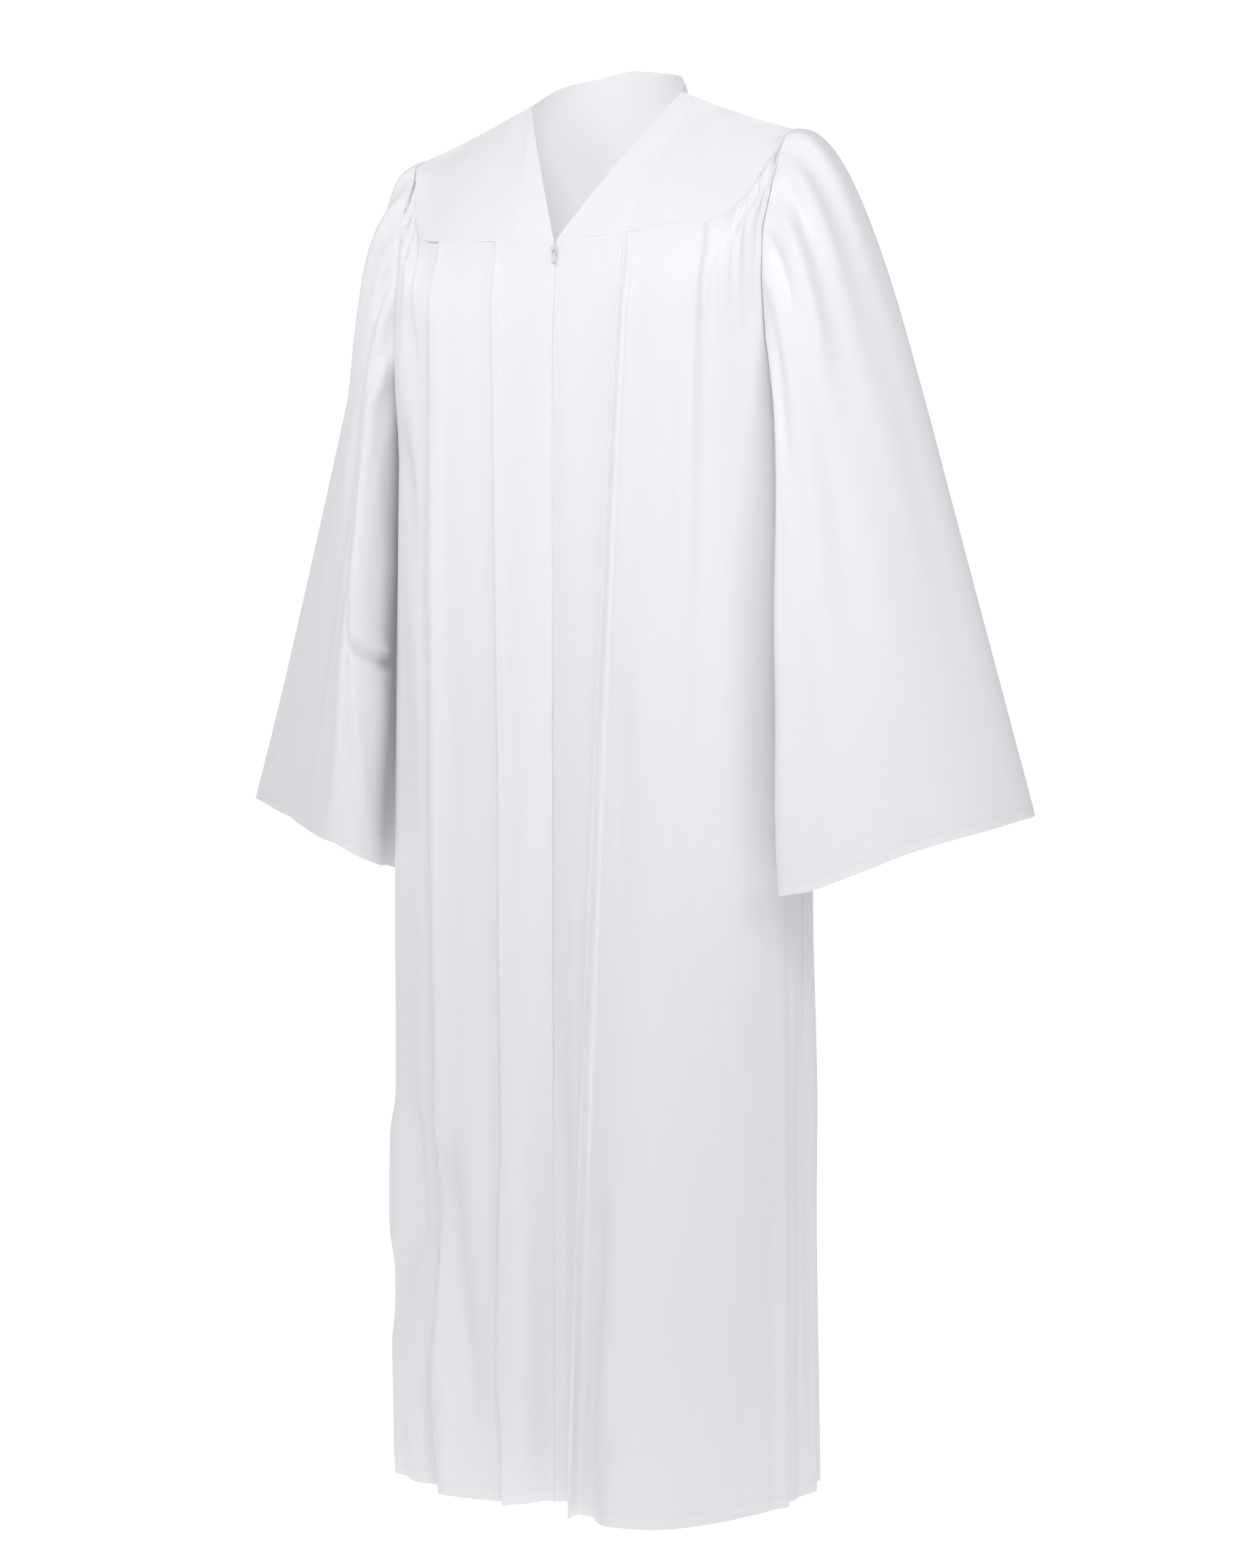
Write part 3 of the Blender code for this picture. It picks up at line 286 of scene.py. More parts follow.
# Zip: slit, chain, slider and pull tab
ZIP_SLIT = 0.0024
ZIP_CHAIN_RECESS = 0.0002
ZIP_TOP = -YOKE_SEAM_DROP - 0.002
ZIP_BOTTOM = ZIP_TOP - ZIP_LENGTH + 0.012
SLIDER_Z = -YOKE_SEAM_DROP - 0.009
SLIDER_CLEARANCE = 0.0008
SLIDER_PLATE = 0.0016
SLIDER_WIDTH = 0.007
SLIDER_HEIGHT = 0.0085
STEM_CLEAR = 0.0009
STEM_SHARE = 0.6            # of the slider's height
BAIL_HEIGHT = 0.0052
BAIL_WIDTH = 0.0016
BAIL_BAR = 0.0008
BAIL_CLEAR = 0.0017
BAIL_ROOT = 0.0003          # the bail's feet run this far into the plate
TAB_WIDTH = 0.0046
TAB_THICKNESS = 0.001
TAB_SLOT = 0.0038
TAB_SLOT_WIDTH = 0.0024

# Cloth
THREAD = 0.00055
CLOTH_SHADE = (0.848, 0.846, 0.872)
CLOTH_LIGHT = (0.926, 0.922, 0.936)
SEAM_TOP = -0.05            # height from which creases and pleat lines are measured down
FACING_STEP = 0.0007
# Where the facing's edge meets the yoke seam and the shoulder, as shares of the yoke's width
FACING_EDGE = {"left": (0.262, 0.14), "right": (0.180, 0.03)}
SLEEVE_GIRTH = 0.55
SLEEVE_REACH = 0.74
HEM_STITCH = 0.012
CUFF_STITCH = 0.009
YOKE_STITCH = 0.0035
STITCH_HALF = 0.0005
STITCH_PITCH = 0.0032
STITCH_SHARE = 0.68         # share of the pitch that the thread shows
# Scales of the cloth's noises, across, up and through
SLUBS = (620.0, 16.0, 1.0)
CROSS_SLUBS = (14.0, 520.0, 1.0)
MOTTLE = (9.0, 5.0, 1.0)
# Weights of what makes the cloth's tone (slubs, cross slubs, mottling, facing) and relief
# (weave, slubs, cross slubs)
CLOTH_TONE = (0.050, 0.014, 0.030, 0.024)
CLOTH_HEIGHT = (0.012, 0.06, 0.02)
CLOTH_RAMP = (8.0, 0.10)
CLOTH_GRAIN = (0.55, 0.0010)            # strength and distance
CLOTH_SHARP_ANGLE = 65
# Stitched edges: half width of the groove, weights of cloth, groove and thread in the relief,
# and how much darker the groove is, as painted shade, and how much darker below a hem the cloth is
HEM_GROOVE = 0.0013
HEM_HEIGHT = (1.0, -0.30, 0.10)
HEM_PAINTED_SHADE_AND_TONE = (0.030, -0.014)
TOP_GROOVE = 0.0012
TOP_HEIGHT = (1.0, -0.25, 0.10)
TOP_GROOVE_PAINTED_SHADE = 0.03
EULER = 2.718


def section_sizes(z):
    return {key: np.interp(-z, [-h for h in SECTIONS["height"]], SECTIONS[key])
            for key in ("half_width", "front", "back", "square")}


def armhole_edge(z, side):
    return np.interp(z, ARMHOLE["height"], ARMHOLE[side])


def section_curve(z, side, count=240):
    """Plain section at height z, from the centre line to the side seam or the armhole edge."""
    sizes = section_sizes(z)
    power = 2.0 / sizes["square"]
    angle = np.linspace(0.0, np.pi / 2, count)
    across = sizes["half_width"] * np.sin(angle) ** power
    along = sizes[side] * np.abs(np.cos(angle)) ** power
    if z > ARMHOLE["height"][0]:
        edge = armhole_edge(z, side)
        kept = along >= edge
        edge_x = np.interp(-edge, -along, across)
        across = np.append(across[kept], edge_x)
        along = np.append(along[kept], edge)
    towards = -1.0 if side == "front" else 1.0
    return np.stack([across, towards * along], axis=1)


def along_curve(points, shares):
    """Points at the given shares of a polyline's length."""
    points = np.asarray(points, float)
    steps = np.linalg.norm(np.diff(points, axis=0), axis=1)
    length = np.concatenate([[0.0], np.cumsum(steps)])
    wanted = np.clip(shares, 0.0, 1.0) * length[-1]
    columns = [np.interp(wanted, length, points[:, k]) for k in range(points.shape[1])]
    return np.stack(columns, axis=1)


def smooth_curve(points, per_span=12):
    """Catmull-Rom curve through the given points."""
    points = np.asarray(points, float)
    padded = np.vstack([2 * points[0] - points[1], points, 2 * points[-1] - points[-2]])
    made = []
    for k in range(1, len(padded) - 2):
        before, start, end, after = padded[k - 1:k + 3]
        for t in np.arange(per_span) / per_span:
            made.append(0.5 * (2 * start + (end - before) * t
                               + (2 * before - 5 * start + 4 * end - after) * t ** 2
                               + (3 * start - before - 3 * end + after) * t ** 3))
    made.append(points[-1])
    return np.array(made)


def ease(t):
    t = np.clip(t, 0.0, 1.0)
    return t * t * (3.0 - 2.0 * t)


def three_stops(top, middle, bottom, t):
    """Value that is top at 0, middle at 0.5 and bottom at 1, on one smooth curve."""
    return top * (1 - t) * (1 - 2 * t) + middle * 4 * t * (1 - t) + bottom * t * (2 * t - 1)


def fold_place(top, hem, down):
    """Share of the panel's width at which a fold line runs: it drifts most near the yoke."""
    return top + (1.0 - (1.0 - down) ** FOLD_DRIFT) * (hem - top)


def grid_normals(grid, closed=False):
    """Unit normals of a grid of points, rows first, from differences along both ways."""
    if closed:
        across = np.roll(grid, -1, axis=1) - np.roll(grid, 1, axis=1)
    else:
        across = np.gradient(grid, axis=1)
    down = np.gradient(grid, axis=0)
    normals = np.cross(across, down)
    return normals / np.linalg.norm(normals, axis=2, keepdims=True)


def seam_run(seam, shares):
    """Steps along a yoke seam at the given shares of its length."""
    ahead = along_curve(seam, np.minimum(np.asarray(shares) + SEAM_STEP, 1.0))
    behind = along_curve(seam, np.maximum(np.asarray(shares) - SEAM_STEP, 0.0))
    return ahead - behind


def seam_normals(seam, shares, towards):
    """Level unit normals of a yoke seam, which both pieces that meet there share."""
    run = seam_run(seam, shares)[:, :2]
    normals = np.stack([-towards * run[:, 1], towards * run[:, 0], np.zeros(len(run))], axis=1)
    return normals / np.linalg.norm(normals, axis=1, keepdims=True)


def below_seam(seam, shares, normals):
    """Unit steps away from a yoke seam, down the panel and square to the seam."""
    steps = np.cross(normals, seam_run(seam, shares))
    steps *= -np.sign(steps[:, 2:])
    return steps / np.linalg.norm(steps, axis=1, keepdims=True)


def back_folds():
    """Fold table of half the back: a ridge and a trough for each flute."""
    rows = [(0.0, 0.0, 0.0, 0.0, 0.0)]
    edges = np.cumsum([1.0 + 0.5 * uneven for uneven in BACK_FLUTE_UNEVEN])
    edges = np.concatenate([[0.0], edges / edges[-1]])
    for k, uneven in enumerate(BACK_FLUTE_UNEVEN):
        start, end = edges[k], edges[k + 1]
        depth = 1.0 + 0.5 * uneven
        if k + 2 >= len(BACK_FLUTE_UNEVEN):
            depth *= BACK_FLUTE_SIDE
        outs = [depth * BACK_FLUTE_DEPTH[level] for level in ("top", "middle", "hem")]
        for share, lift in FLUTE_PROFILE:
            place = start + share * (end - start)
            rows.append((place, place, *[out * lift for out in outs]))
        if k + 1 < len(BACK_FLUTE_UNEVEN):
            rows.append((end, end, *[-FLUTE_TROUGH * out for out in outs]))
    rows.append((1.0, 1.0, 0.0, 0.0, 0.0))
    return rows


def shoulder_line(count=40):
    """From the neck side point to the shoulder tip, dipping a little."""
    t = np.linspace(0.0, 1.0, count)[:, None]
    neck = np.array([NECK_HALF_WIDTH, 0.0, 0.0])
    line = neck + t * (np.array(SHOULDER_TIP) - neck)
    line[:, 2:] -= SHOULDER_SAG * 4 * t * (1 - t)
    return line


def armhole_ring(rounds):
    """Points round the wearer's left armhole: tip, front edge, underarm, back edge."""
    halves = {}
    for side, towards, seam in (("front", -1.0, FRONT_YOKE_SEAM), ("back", 1.0, BACK_YOKE_SEAM)):
        line = [SHOULDER_TIP, seam[-1]]
        for z in np.arange(seam[-1][2] - ARMHOLE_STEP, ARMHOLE["height"][0], -ARMHOLE_STEP):
            x, y = section_curve(z, side)[-1]
            line.append((x, y, z))
        line.append((section_sizes(ARMHOLE["height"][0])["half_width"], 0.0, ARMHOLE["height"][0]))
        halves[side] = np.array(line)
    ring = []
    for w in rounds:
        side, share = ("front", 2 * w) if w <= 0.5 else ("back", 2 - 2 * w)
        ring.append(along_curve(halves[side], [share])[0])
    return np.array(ring) + np.array([SHELL_STANDOFF, 0.0, 0.0])


# Fine shells
SHELL = 0.0010              # cloth of the shells
SHELL_SEAM_GAP = 0.00015
PANEL_LINES = 150
SLEEVE_LINES = 132
COLUMN_STEP = 0.0075
YOKE_LINES = 46
YOKE_STEP = 0.014
PLEAT_COLUMNS = (0.211, 0.300, 0.0025)
ARM_GATHERS_FROM = 0.56     # gathers further round than this die out below the yoke
ARM_GATHERS_DROP = 0.07
SLEEVE_CALM = 0.55          # share of the solids' fold relief that the sleeves keep
SLIT_CLOSED = -0.182        # below this height the two edges meet over the zip
SEAMS = {"front": FRONT_YOKE_SEAM, "back": BACK_YOKE_SEAM}
SECTION_TOP = -0.045
SECTION_LEVELS = 240
SECTION_SHARES = 181
PANEL_CROWD = 1.25          # above 1, lines lie closer together near the yoke
SLEEVE_CROWD = 1.15         # the same near the armhole
SLIT_TAPER = 0.008          # height over which the slit opens
EDGE_FADE = 0.03            # share of a piece over which relief dies away at its edges
ROW_FADE = 0.01             # the same at a panel's or a sleeve's first line
EVEN_REACH = 0.07           # running mean over the folds, as a share of the panel's width
CALM_RISE = 0.06
ARM_GATHERS_RISE = 0.08
ARM_GATHERS_FADE = 1.6
PLEAT_RISE = 0.03
PLEAT_FALL = 0.15
RATES_ACROSS = (0.5, 1.3)   # least and most waves in each reach
RATES_DOWN = (0.4, 1.3)
WAVE_PEAK = 1.2             # what a sum of waves is divided by, so that it stays within about 1
# Creases: share of the length over which they die away, and the ridge beside a trough, as
# shares of its half width and of its depth
CREASE_TAPER = 0.25
SLEEVE_CREASE_TAPER = 0.3
RIDGE_ASIDE = 2.2
RIDGE_WIDTH = 1.6
RIDGE_SHARE = 0.45
GATHER_COUNT = 5            # waves in a row of gathers or puckers
GATHER_SPAN = 0.30          # metres that a panel's gathers spread over
GATHER_START = 0.006
GATHER_FADE = 1.4
FRONT_GATHERS = (0.50, 0.16, 0.05)      # where they begin, how they rise and how they stop
# Yokes: swells with height, length across and up, and puckers with height, length across and
# how far up they reach
YOKE_RISE = 0.15
YOKE_SWELL = (0.0008, 0.10, 0.09)
YOKE_PUCKER = (0.0006, 0.012, 0.010)
PUCKER_FADE = 1.3
YOKE_SEAM_FADE = 0.05
YOKE_FADE = 0.06
FACING_SOFT = 0.020         # share of the yoke's width over which the facing's step rises
# Sleeves: gathers at the head with height, reach, fade and start, swells with height, lean,
# turn and start, and waves with height, spread round and down, and length round and down
CAP_POWER = 0.6
CAP_GATHERS = (0.0016, 0.06, 1.5, 0.008)
CAP_GATHER_COUNTS = (29, 37, 46, 53, 61)
SLEEVE_SWELL = (0.0006, 0.02, 5, 0.15)
SLEEVE_SWELL_COUNTS = (7, 11, 13, 17)
SLEEVE_WAVES = (0.0008, 0.2, 0.7, 0.13, 0.22)
# Gathers below the yoke seam: height, width of one and how far down they reach
GATHERS = {"front": (0.0011, 0.011, 0.055), "back": (0.0012, 0.009, 0.05)}
# Soft swells of the cloth: height, length across and down, and how far down they are whole
SWELLS = {
    "front": ((0.0005, 0.060, 0.50, 0.05), (0.0008, 0.11, 0.30, 0.10)),
    "back": ((0.0011, 0.05, 0.55, 0.06), (0.0008, 0.12, 0.28, 0.12)),
}


def curve_length(points):
    return np.linalg.norm(np.diff(points, axis=0), axis=1).sum()


def monotone(x, y, wanted):
    """Smooth curve through the rows of a table that never overshoots between them."""
    x = np.asarray(x, float)
    y = np.asarray(y, float)
    h = np.diff(x)[:, None]
    slope = np.diff(y, axis=0) / h
    tangent = np.zeros_like(y)
    same = slope[:-1] * slope[1:] > 0
    w1 = 2 * h[1:] + h[:-1]
    w2 = h[1:] + 2 * h[:-1]
    safe_a = np.where(same, slope[:-1], 1.0)
    safe_b = np.where(same, slope[1:], 1.0)
    tangent[1:-1] = np.where(same, (w1 + w2) / (w1 / safe_a + w2 / safe_b), 0.0)
    tangent[0] = slope[0]
    tangent[-1] = slope[-1]
    return cubic(x, y, tangent, wanted)


def cubic(x, y, slope, wanted):
    """Piecewise cubic through the rows of y with the given slopes."""
    place = np.clip(np.searchsorted(x, wanted, side="right") - 1, 0, len(x) - 2)
    width = (x[place + 1] - x[place])[:, None]
    t = (wanted - x[place])[:, None] / width
    near = (2 * t ** 3 - 3 * t ** 2 + 1) * y[place]
    near += (t ** 3 - 2 * t ** 2 + t) * width * slope[place]
    far = (-2 * t ** 3 + 3 * t ** 2) * y[place + 1]
    far += (t ** 3 - t ** 2) * width * slope[place + 1]
    return near + far


def closer(places, step):
    """The given places with enough more between them, at least two in each span."""
    made = []
    for start, end in zip(places, places[1:]):
        count = max(3, int(np.ceil((end - start) / step)))
        made.extend(start + (end - start) * np.arange(count) / count)
    made.append(places[-1])
    return np.array(made)


def waves(seed, across, down, reach_across, reach_down, count=7):
    """Soft uneven relief between about -1 and 1, the same on every run."""
    chance = np.random.default_rng(seed)
    total = np.zeros(np.broadcast(across, down).shape)
    for _ in range(count):
        rate_a = chance.uniform(*RATES_ACROSS) * chance.choice((-1.0, 1.0)) / reach_across
        rate_d = chance.uniform(*RATES_DOWN) / reach_down
        turn = 2 * np.pi * (across * rate_a + down * rate_d)
        total += np.sin(turn + chance.uniform(0, 2 * np.pi))
    return total / np.sqrt(count) / WAVE_PEAK


def crease_frame(across, down, run, end):
    """Distance beside a crease, and how whole it is: it dies away over a share of both ends."""
    length = np.linalg.norm(run)
    step = run / length
    along = (across * step[0] + down * step[1]) / length
    return across * step[1] - down * step[0], ease(along / end) * ease((1 - along) / end)


def creases(table, across, down):
    """Troughs and ridges of a panel, each with a softer rise beside it."""
    total = np.zeros(np.broadcast(across, down).shape)
    for a0, d0, a1, d1, half, depth, skew in table:
        aside, whole = crease_frame(across - a0, down - d0, np.array([a1 - a0, d1 - d0]),
                                     CREASE_TAPER)
        trough = np.exp(-(aside / half) ** 2)
        ridge = (aside - skew * RIDGE_ASIDE * half) / (RIDGE_WIDTH * half)
        total += whole * depth * (trough - RIDGE_SHARE * np.exp(-ridge ** 2))
    return total


class Section:
    """Plain body sections of the front or the back, looked up by height and distance round."""

    def __init__(self, side):
        self.levels = np.linspace(SECTION_TOP, HEM_Z, SECTION_LEVELS)
        shares = np.linspace(0.0, 1.0, SECTION_SHARES)
        self.points = np.zeros((len(self.levels), len(shares), 2))
        self.lengths = np.zeros(len(self.levels))
        for i, z in enumerate(self.levels):
            curve = section_curve(z, side)
            self.points[i] = along_curve(curve, shares)
            self.lengths[i] = curve_length(curve)

    def length(self, z):
        return np.interp(-z, -self.levels, self.lengths)

    def at(self, z, share):
        level = np.interp(-z, -self.levels, np.arange(len(self.levels)))
        place = np.clip(share, 0.0, 1.0) * (self.points.shape[1] - 1)
        i = np.clip(level.astype(int), 0, len(self.levels) - 2)
        k = np.clip(place.astype(int), 0, self.points.shape[1] - 2)
        f = (level - i)[..., None]
        g = (place - k)[..., None]
        near = self.points[i, k] * (1 - g) + self.points[i, k + 1] * g
        far = self.points[i + 1, k] * (1 - g) + self.points[i + 1, k + 1] * g
        return near * (1 - f) + far * f


def panel_relief(table, columns, share, drop, calm):
    """How far the folds stand out: by the armhole they die out below the yoke."""
    out_top, out_middle, out_hem = monotone(table[:, 0], table[:, 2:5], columns).T
    still = ease((columns - calm[0]) / CALM_RISE) * calm[1]
    out_middle = out_middle + (evened(out_middle, columns) - out_middle) * still
    by_arm = ease((columns - ARM_GATHERS_FROM) / ARM_GATHERS_RISE)
    gathers = (out_top - evened(out_top, columns)) * by_arm
    out = three_stops(out_top - gathers, out_middle, out_hem, share)
    out = out + gathers * np.exp(-(drop / ARM_GATHERS_DROP) ** ARM_GATHERS_FADE)
    return out * (TOP_RELIEF + (1.0 - TOP_RELIEF) * ease(share / TOP_RELIEF_END))


def panel_surface(folds, side, columns, shares, calm):
    """The panel of the solids on finer lines, and each point's distance round from the centre."""
    section = Section(side)
    seam = smooth_curve(SEAMS[side])
    towards = -1.0 if side == "front" else 1.0
    table = np.asarray(folds, float)
    share = shares[:, None]

    top_normals = seam_normals(seam, columns, towards)
    tops = along_curve(seam, columns) + below_seam(seam, columns, top_normals) * SHELL_SEAM_GAP
    z = tops[None, :, 2] + share * (HEM_Z - tops[None, :, 2])
    drop = tops[None, :, 2] - z

    # distance round: by fold lines near the centre, by the armhole's edge further out
    down = np.clip((z - seam[0, 2]) / (HEM_Z - seam[0, 2]), 0.0, 1.0)
    full = curve_length(seam) + down * (section.length(HEM_Z) - curve_length(seam))
    free = FREE_SHARE * full
    length = section.length(z)
    place_hem = monotone(table[:, 0], table[:, 1:2], columns)[:, 0]
    distance = fold_place(columns, place_hem, down) * full
    bound = free + (length - free) * (distance - free) / (full - free)
    distance = np.where(distance > free, bound, distance)

    ahead = section.at(z, (distance + RUN_STEP) / length)
    run = ahead - section.at(z, (distance - RUN_STEP) / length)
    outward = towards * np.stack([-run[..., 1], run[..., 0]], axis=-1)
    outward /= np.linalg.norm(outward, axis=-1, keepdims=True)
    reach = SEAM_REACH_CENTRE + columns * (SEAM_REACH_TIP - SEAM_REACH_CENTRE)
    reach = np.where(columns > SEAM_EDGE_FROM, SEAM_REACH_EDGE, reach)
    hold = ease(drop / reach)[..., None]
    outward = top_normals[None, :, :2] * (1 - hold) + outward * hold
    out = panel_relief(table, columns, share, drop, calm)[..., None]
    flat = tops[None, :, :2] * (1 - hold) + section.at(z, distance / length) * hold + outward * out
    return np.concatenate([flat, z[..., None]], axis=-1), distance


def evened(values, columns):
    """Running mean of a column of the fold table, over the width of a few folds."""
    weight = np.exp(-((columns[:, None] - columns[None, :]) / EVEN_REACH) ** 2)
    weight = weight * np.gradient(columns)[None, :]
    return weight @ values / weight.sum(axis=1)


def pleat_lines(table, columns, distance, below):
    """Pressed pleat lines that follow the folds."""
    total = np.zeros(distance.shape)
    for share, half, depth, start, end in table:
        line = np.array([np.interp(share, columns, row) for row in distance])[:, None]
        taper = ease((below - start) / PLEAT_RISE) * ease((end - below) / PLEAT_FALL)
        total += depth * taper * np.exp(-((distance - line) / half) ** 2)
    return total


def finish_edges(grid, normals, seam, columns, towards, centre_gap):
    """Squares the edges of a panel to its seams, as on the solids."""
    normals[:, 0, 0] = 0.0
    grid[:, 0, 0] = centre_gap
    below_arm = grid[:, -1, 2] < ARMHOLE["height"][0]
    normals[below_arm, -1, 1] = 0.0
    grid[below_arm, -1, 1] = towards * SHELL_SEAM_GAP
    normals[0] = seam_normals(seam, columns, towards)
    normals /= np.linalg.norm(normals, axis=2, keepdims=True)


def cloth_panel(side, folds, crease_table, seed, pleat_table=(), calm=(0.0, 0.0)):
    """Front or back panel with its gathers, listed creases and uneven cloth."""
    towards = -1.0 if side == "front" else 1.0
    columns = closer(np.asarray(folds)[:, 0], COLUMN_STEP)
    if pleat_table:
        columns = np.union1d(columns, np.round(np.arange(*PLEAT_COLUMNS), 5))
    shares = np.concatenate([[0.0], np.linspace(0.0, 1.0, PANEL_LINES)[1:] ** PANEL_CROWD])
    grid, distance = panel_surface(folds, side, columns, shares, calm)
    below = SEAM_TOP - grid[..., 2]
    drop = grid[0][None, :, 2] - grid[..., 2]
    height, reach, fall = GATHERS[side]
    relief = height * waves(seed, columns * GATHER_SPAN, 0.0 * drop, reach, 1.0, GATHER_COUNT)
    relief = relief * np.exp(-(drop / fall) ** GATHER_FADE) * ease(drop / GATHER_START)
    if side == "front":
        begin, rise, stop = FRONT_GATHERS
        relief *= ease((columns - begin) / rise) * ease((1.0 - columns) / stop)
    for k, (height, reach, rise, start) in enumerate(SWELLS[side]):
        relief += height * waves(seed + 1 + k, distance, drop, reach, rise) * ease(drop / start)
    relief += creases(crease_table, distance, below)
    relief += pleat_lines(pleat_table, columns, distance, below)
    fade = edge_fade(columns, shares)
    grid = grid + towards * grid_normals(grid) * (relief * fade)[..., None]
    normals = towards * grid_normals(grid)
    gap = SHELL_SEAM_GAP
    if side == "front":
        gap += (ZIP_SLIT / 2 - SHELL_SEAM_GAP) * ease((grid[:, 0, 2] - SLIT_CLOSED) / SLIT_TAPER)
    finish_edges(grid, normals, smooth_curve(SEAMS[side]), columns, towards, gap)
    return grid, normals


def edge_fade(columns, shares):
    """Relief dies away at the seams and the centre edge, so that the pieces still meet."""
    across = ease(columns / EDGE_FADE) * ease((1.0 - columns) / EDGE_FADE)
    return across[None, :] * ease(shares / ROW_FADE)[:, None]


def yoke_surface(bottom, top, sign, seed, edge_columns):
    """Fine yoke between its seam and the shoulder or neck line."""
    ups = np.linspace(0.0, 1.0, YOKE_LINES)
    rows = np.array([bottom + share * (top - bottom) for share in ups])
    normals = grid_normals(rows) * sign
    up = ups[:, None]
    width = np.abs(bottom[:, 0])[None, :]
    full = 1 - (width / width[:, -1:]) ** 3
    drop = up * YOKE_RISE
    height, reach, rise = YOKE_SWELL
    relief = height * waves(seed, width, drop, reach, rise)
    height, reach, fall = YOKE_PUCKER
    pucker = waves(seed + 1, width, 0.0 * drop, reach, 1.0, GATHER_COUNT)
    relief += height * pucker * np.exp(-(drop / fall) ** PUCKER_FADE)
    fade = ease(up / YOKE_SEAM_FADE) * ease((1 - up) / YOKE_FADE) * edge_columns[None, :]
    return rows + normals * (YOKE_BULGE * 4 * up * (1 - up) * full + relief * fade)[..., None]


def front_yoke_surface(folds, edge, seed):
    """Front yoke, and where it lies on its facing, which prints through as a low step."""
    seam = smooth_curve(FRONT_YOKE_SEAM)
    shares = closer(np.asarray(folds)[:, 0], YOKE_STEP)
    top = along_curve(shoulder_line(), shares)
    top[:, 1] -= SHELL_SEAM_GAP
    fade = ease(shares / YOKE_FADE) * ease((1 - shares) / YOKE_FADE)
    grid = yoke_surface(along_curve(seam, shares), top, 1.0, seed, fade)
    up = np.linspace(0.0, 1.0, YOKE_LINES)[:, None]
    grid[:, 0, 0] += ZIP_SLIT / 2 * (1 - up[:, 0])
    line = edge[0] + (edge[1] - edge[0]) * up
    facing = 1 - ease((shares[None, :] - line + FACING_SOFT / 2) / FACING_SOFT)
    step = FACING_STEP * facing * ease(up / EDGE_FADE) * ease((1 - up) / EDGE_FADE)
    grid += grid_normals(grid) * step[..., None]
    normals = grid_normals(grid)
    normals[:, -1, 0] = 0.0
    normals[0] = seam_normals(seam, shares, -1.0)
    normals[-1, :, 1] = 0.0
    normals /= np.linalg.norm(normals, axis=2, keepdims=True)
    return grid, normals, facing


def back_yoke_surface(seed):
    """Back yoke, from shoulder to shoulder, with the neck's curve in its upper edge."""
    seam = smooth_curve(BACK_YOKE_SEAM)
    half = closer(np.asarray(back_folds())[:, 0], YOKE_STEP)
    half = np.unique(np.round(np.concatenate([half, [BACK_NECK_SHARE]]), 6))
    shares = np.concatenate([-half[:0:-1], half])
    reach = np.abs(shares)
    side = np.ones((len(shares), 3))
    side[shares < 0, 0] = -1.0
    neck = along_curve(smooth_curve(BACK_NECK), np.minimum(reach / BACK_NECK_SHARE, 1.0))
    rest = np.clip((reach - BACK_NECK_SHARE) / (1 - BACK_NECK_SHARE), 0.0, 1.0)
    slope = along_curve(shoulder_line(), rest) + np.array([0.0, SHELL_SEAM_GAP, 0.0])
    top = np.where(reach[:, None] < BACK_NECK_SHARE, neck, slope) * side
    fade = ease((1 - reach) / YOKE_FADE)
    grid = yoke_surface(along_curve(seam, reach) * side, top, -1.0, seed, fade)
    normals = -grid_normals(grid)
    normals[:, (0, -1), 0] = 0.0
    normals[0] = seam_normals(seam, reach, 1.0) * side
    normals[-1, reach >= BACK_NECK_SHARE, 1] = 0.0
    normals /= np.linalg.norm(normals, axis=2, keepdims=True)
    return grid, normals


def round_table(folds, wanted):
    """Cuff points and reliefs of a sleeve's table at any place round it, joined up at the ends."""
    table = np.asarray(folds, float)
    before = table[-4:].copy()
    before[:, 0] -= 1.0
    after = table[:4].copy()
    after[:, 0] += 1.0
    whole = np.vstack([before, table, after])
    place, cuff, out = whole[:, 0], whole[:, 1:4], whole[:, 4:]
    cuff = cubic(place, cuff, np.gradient(cuff, place, axis=0), wanted)
    return cuff, monotone(place, out, wanted)


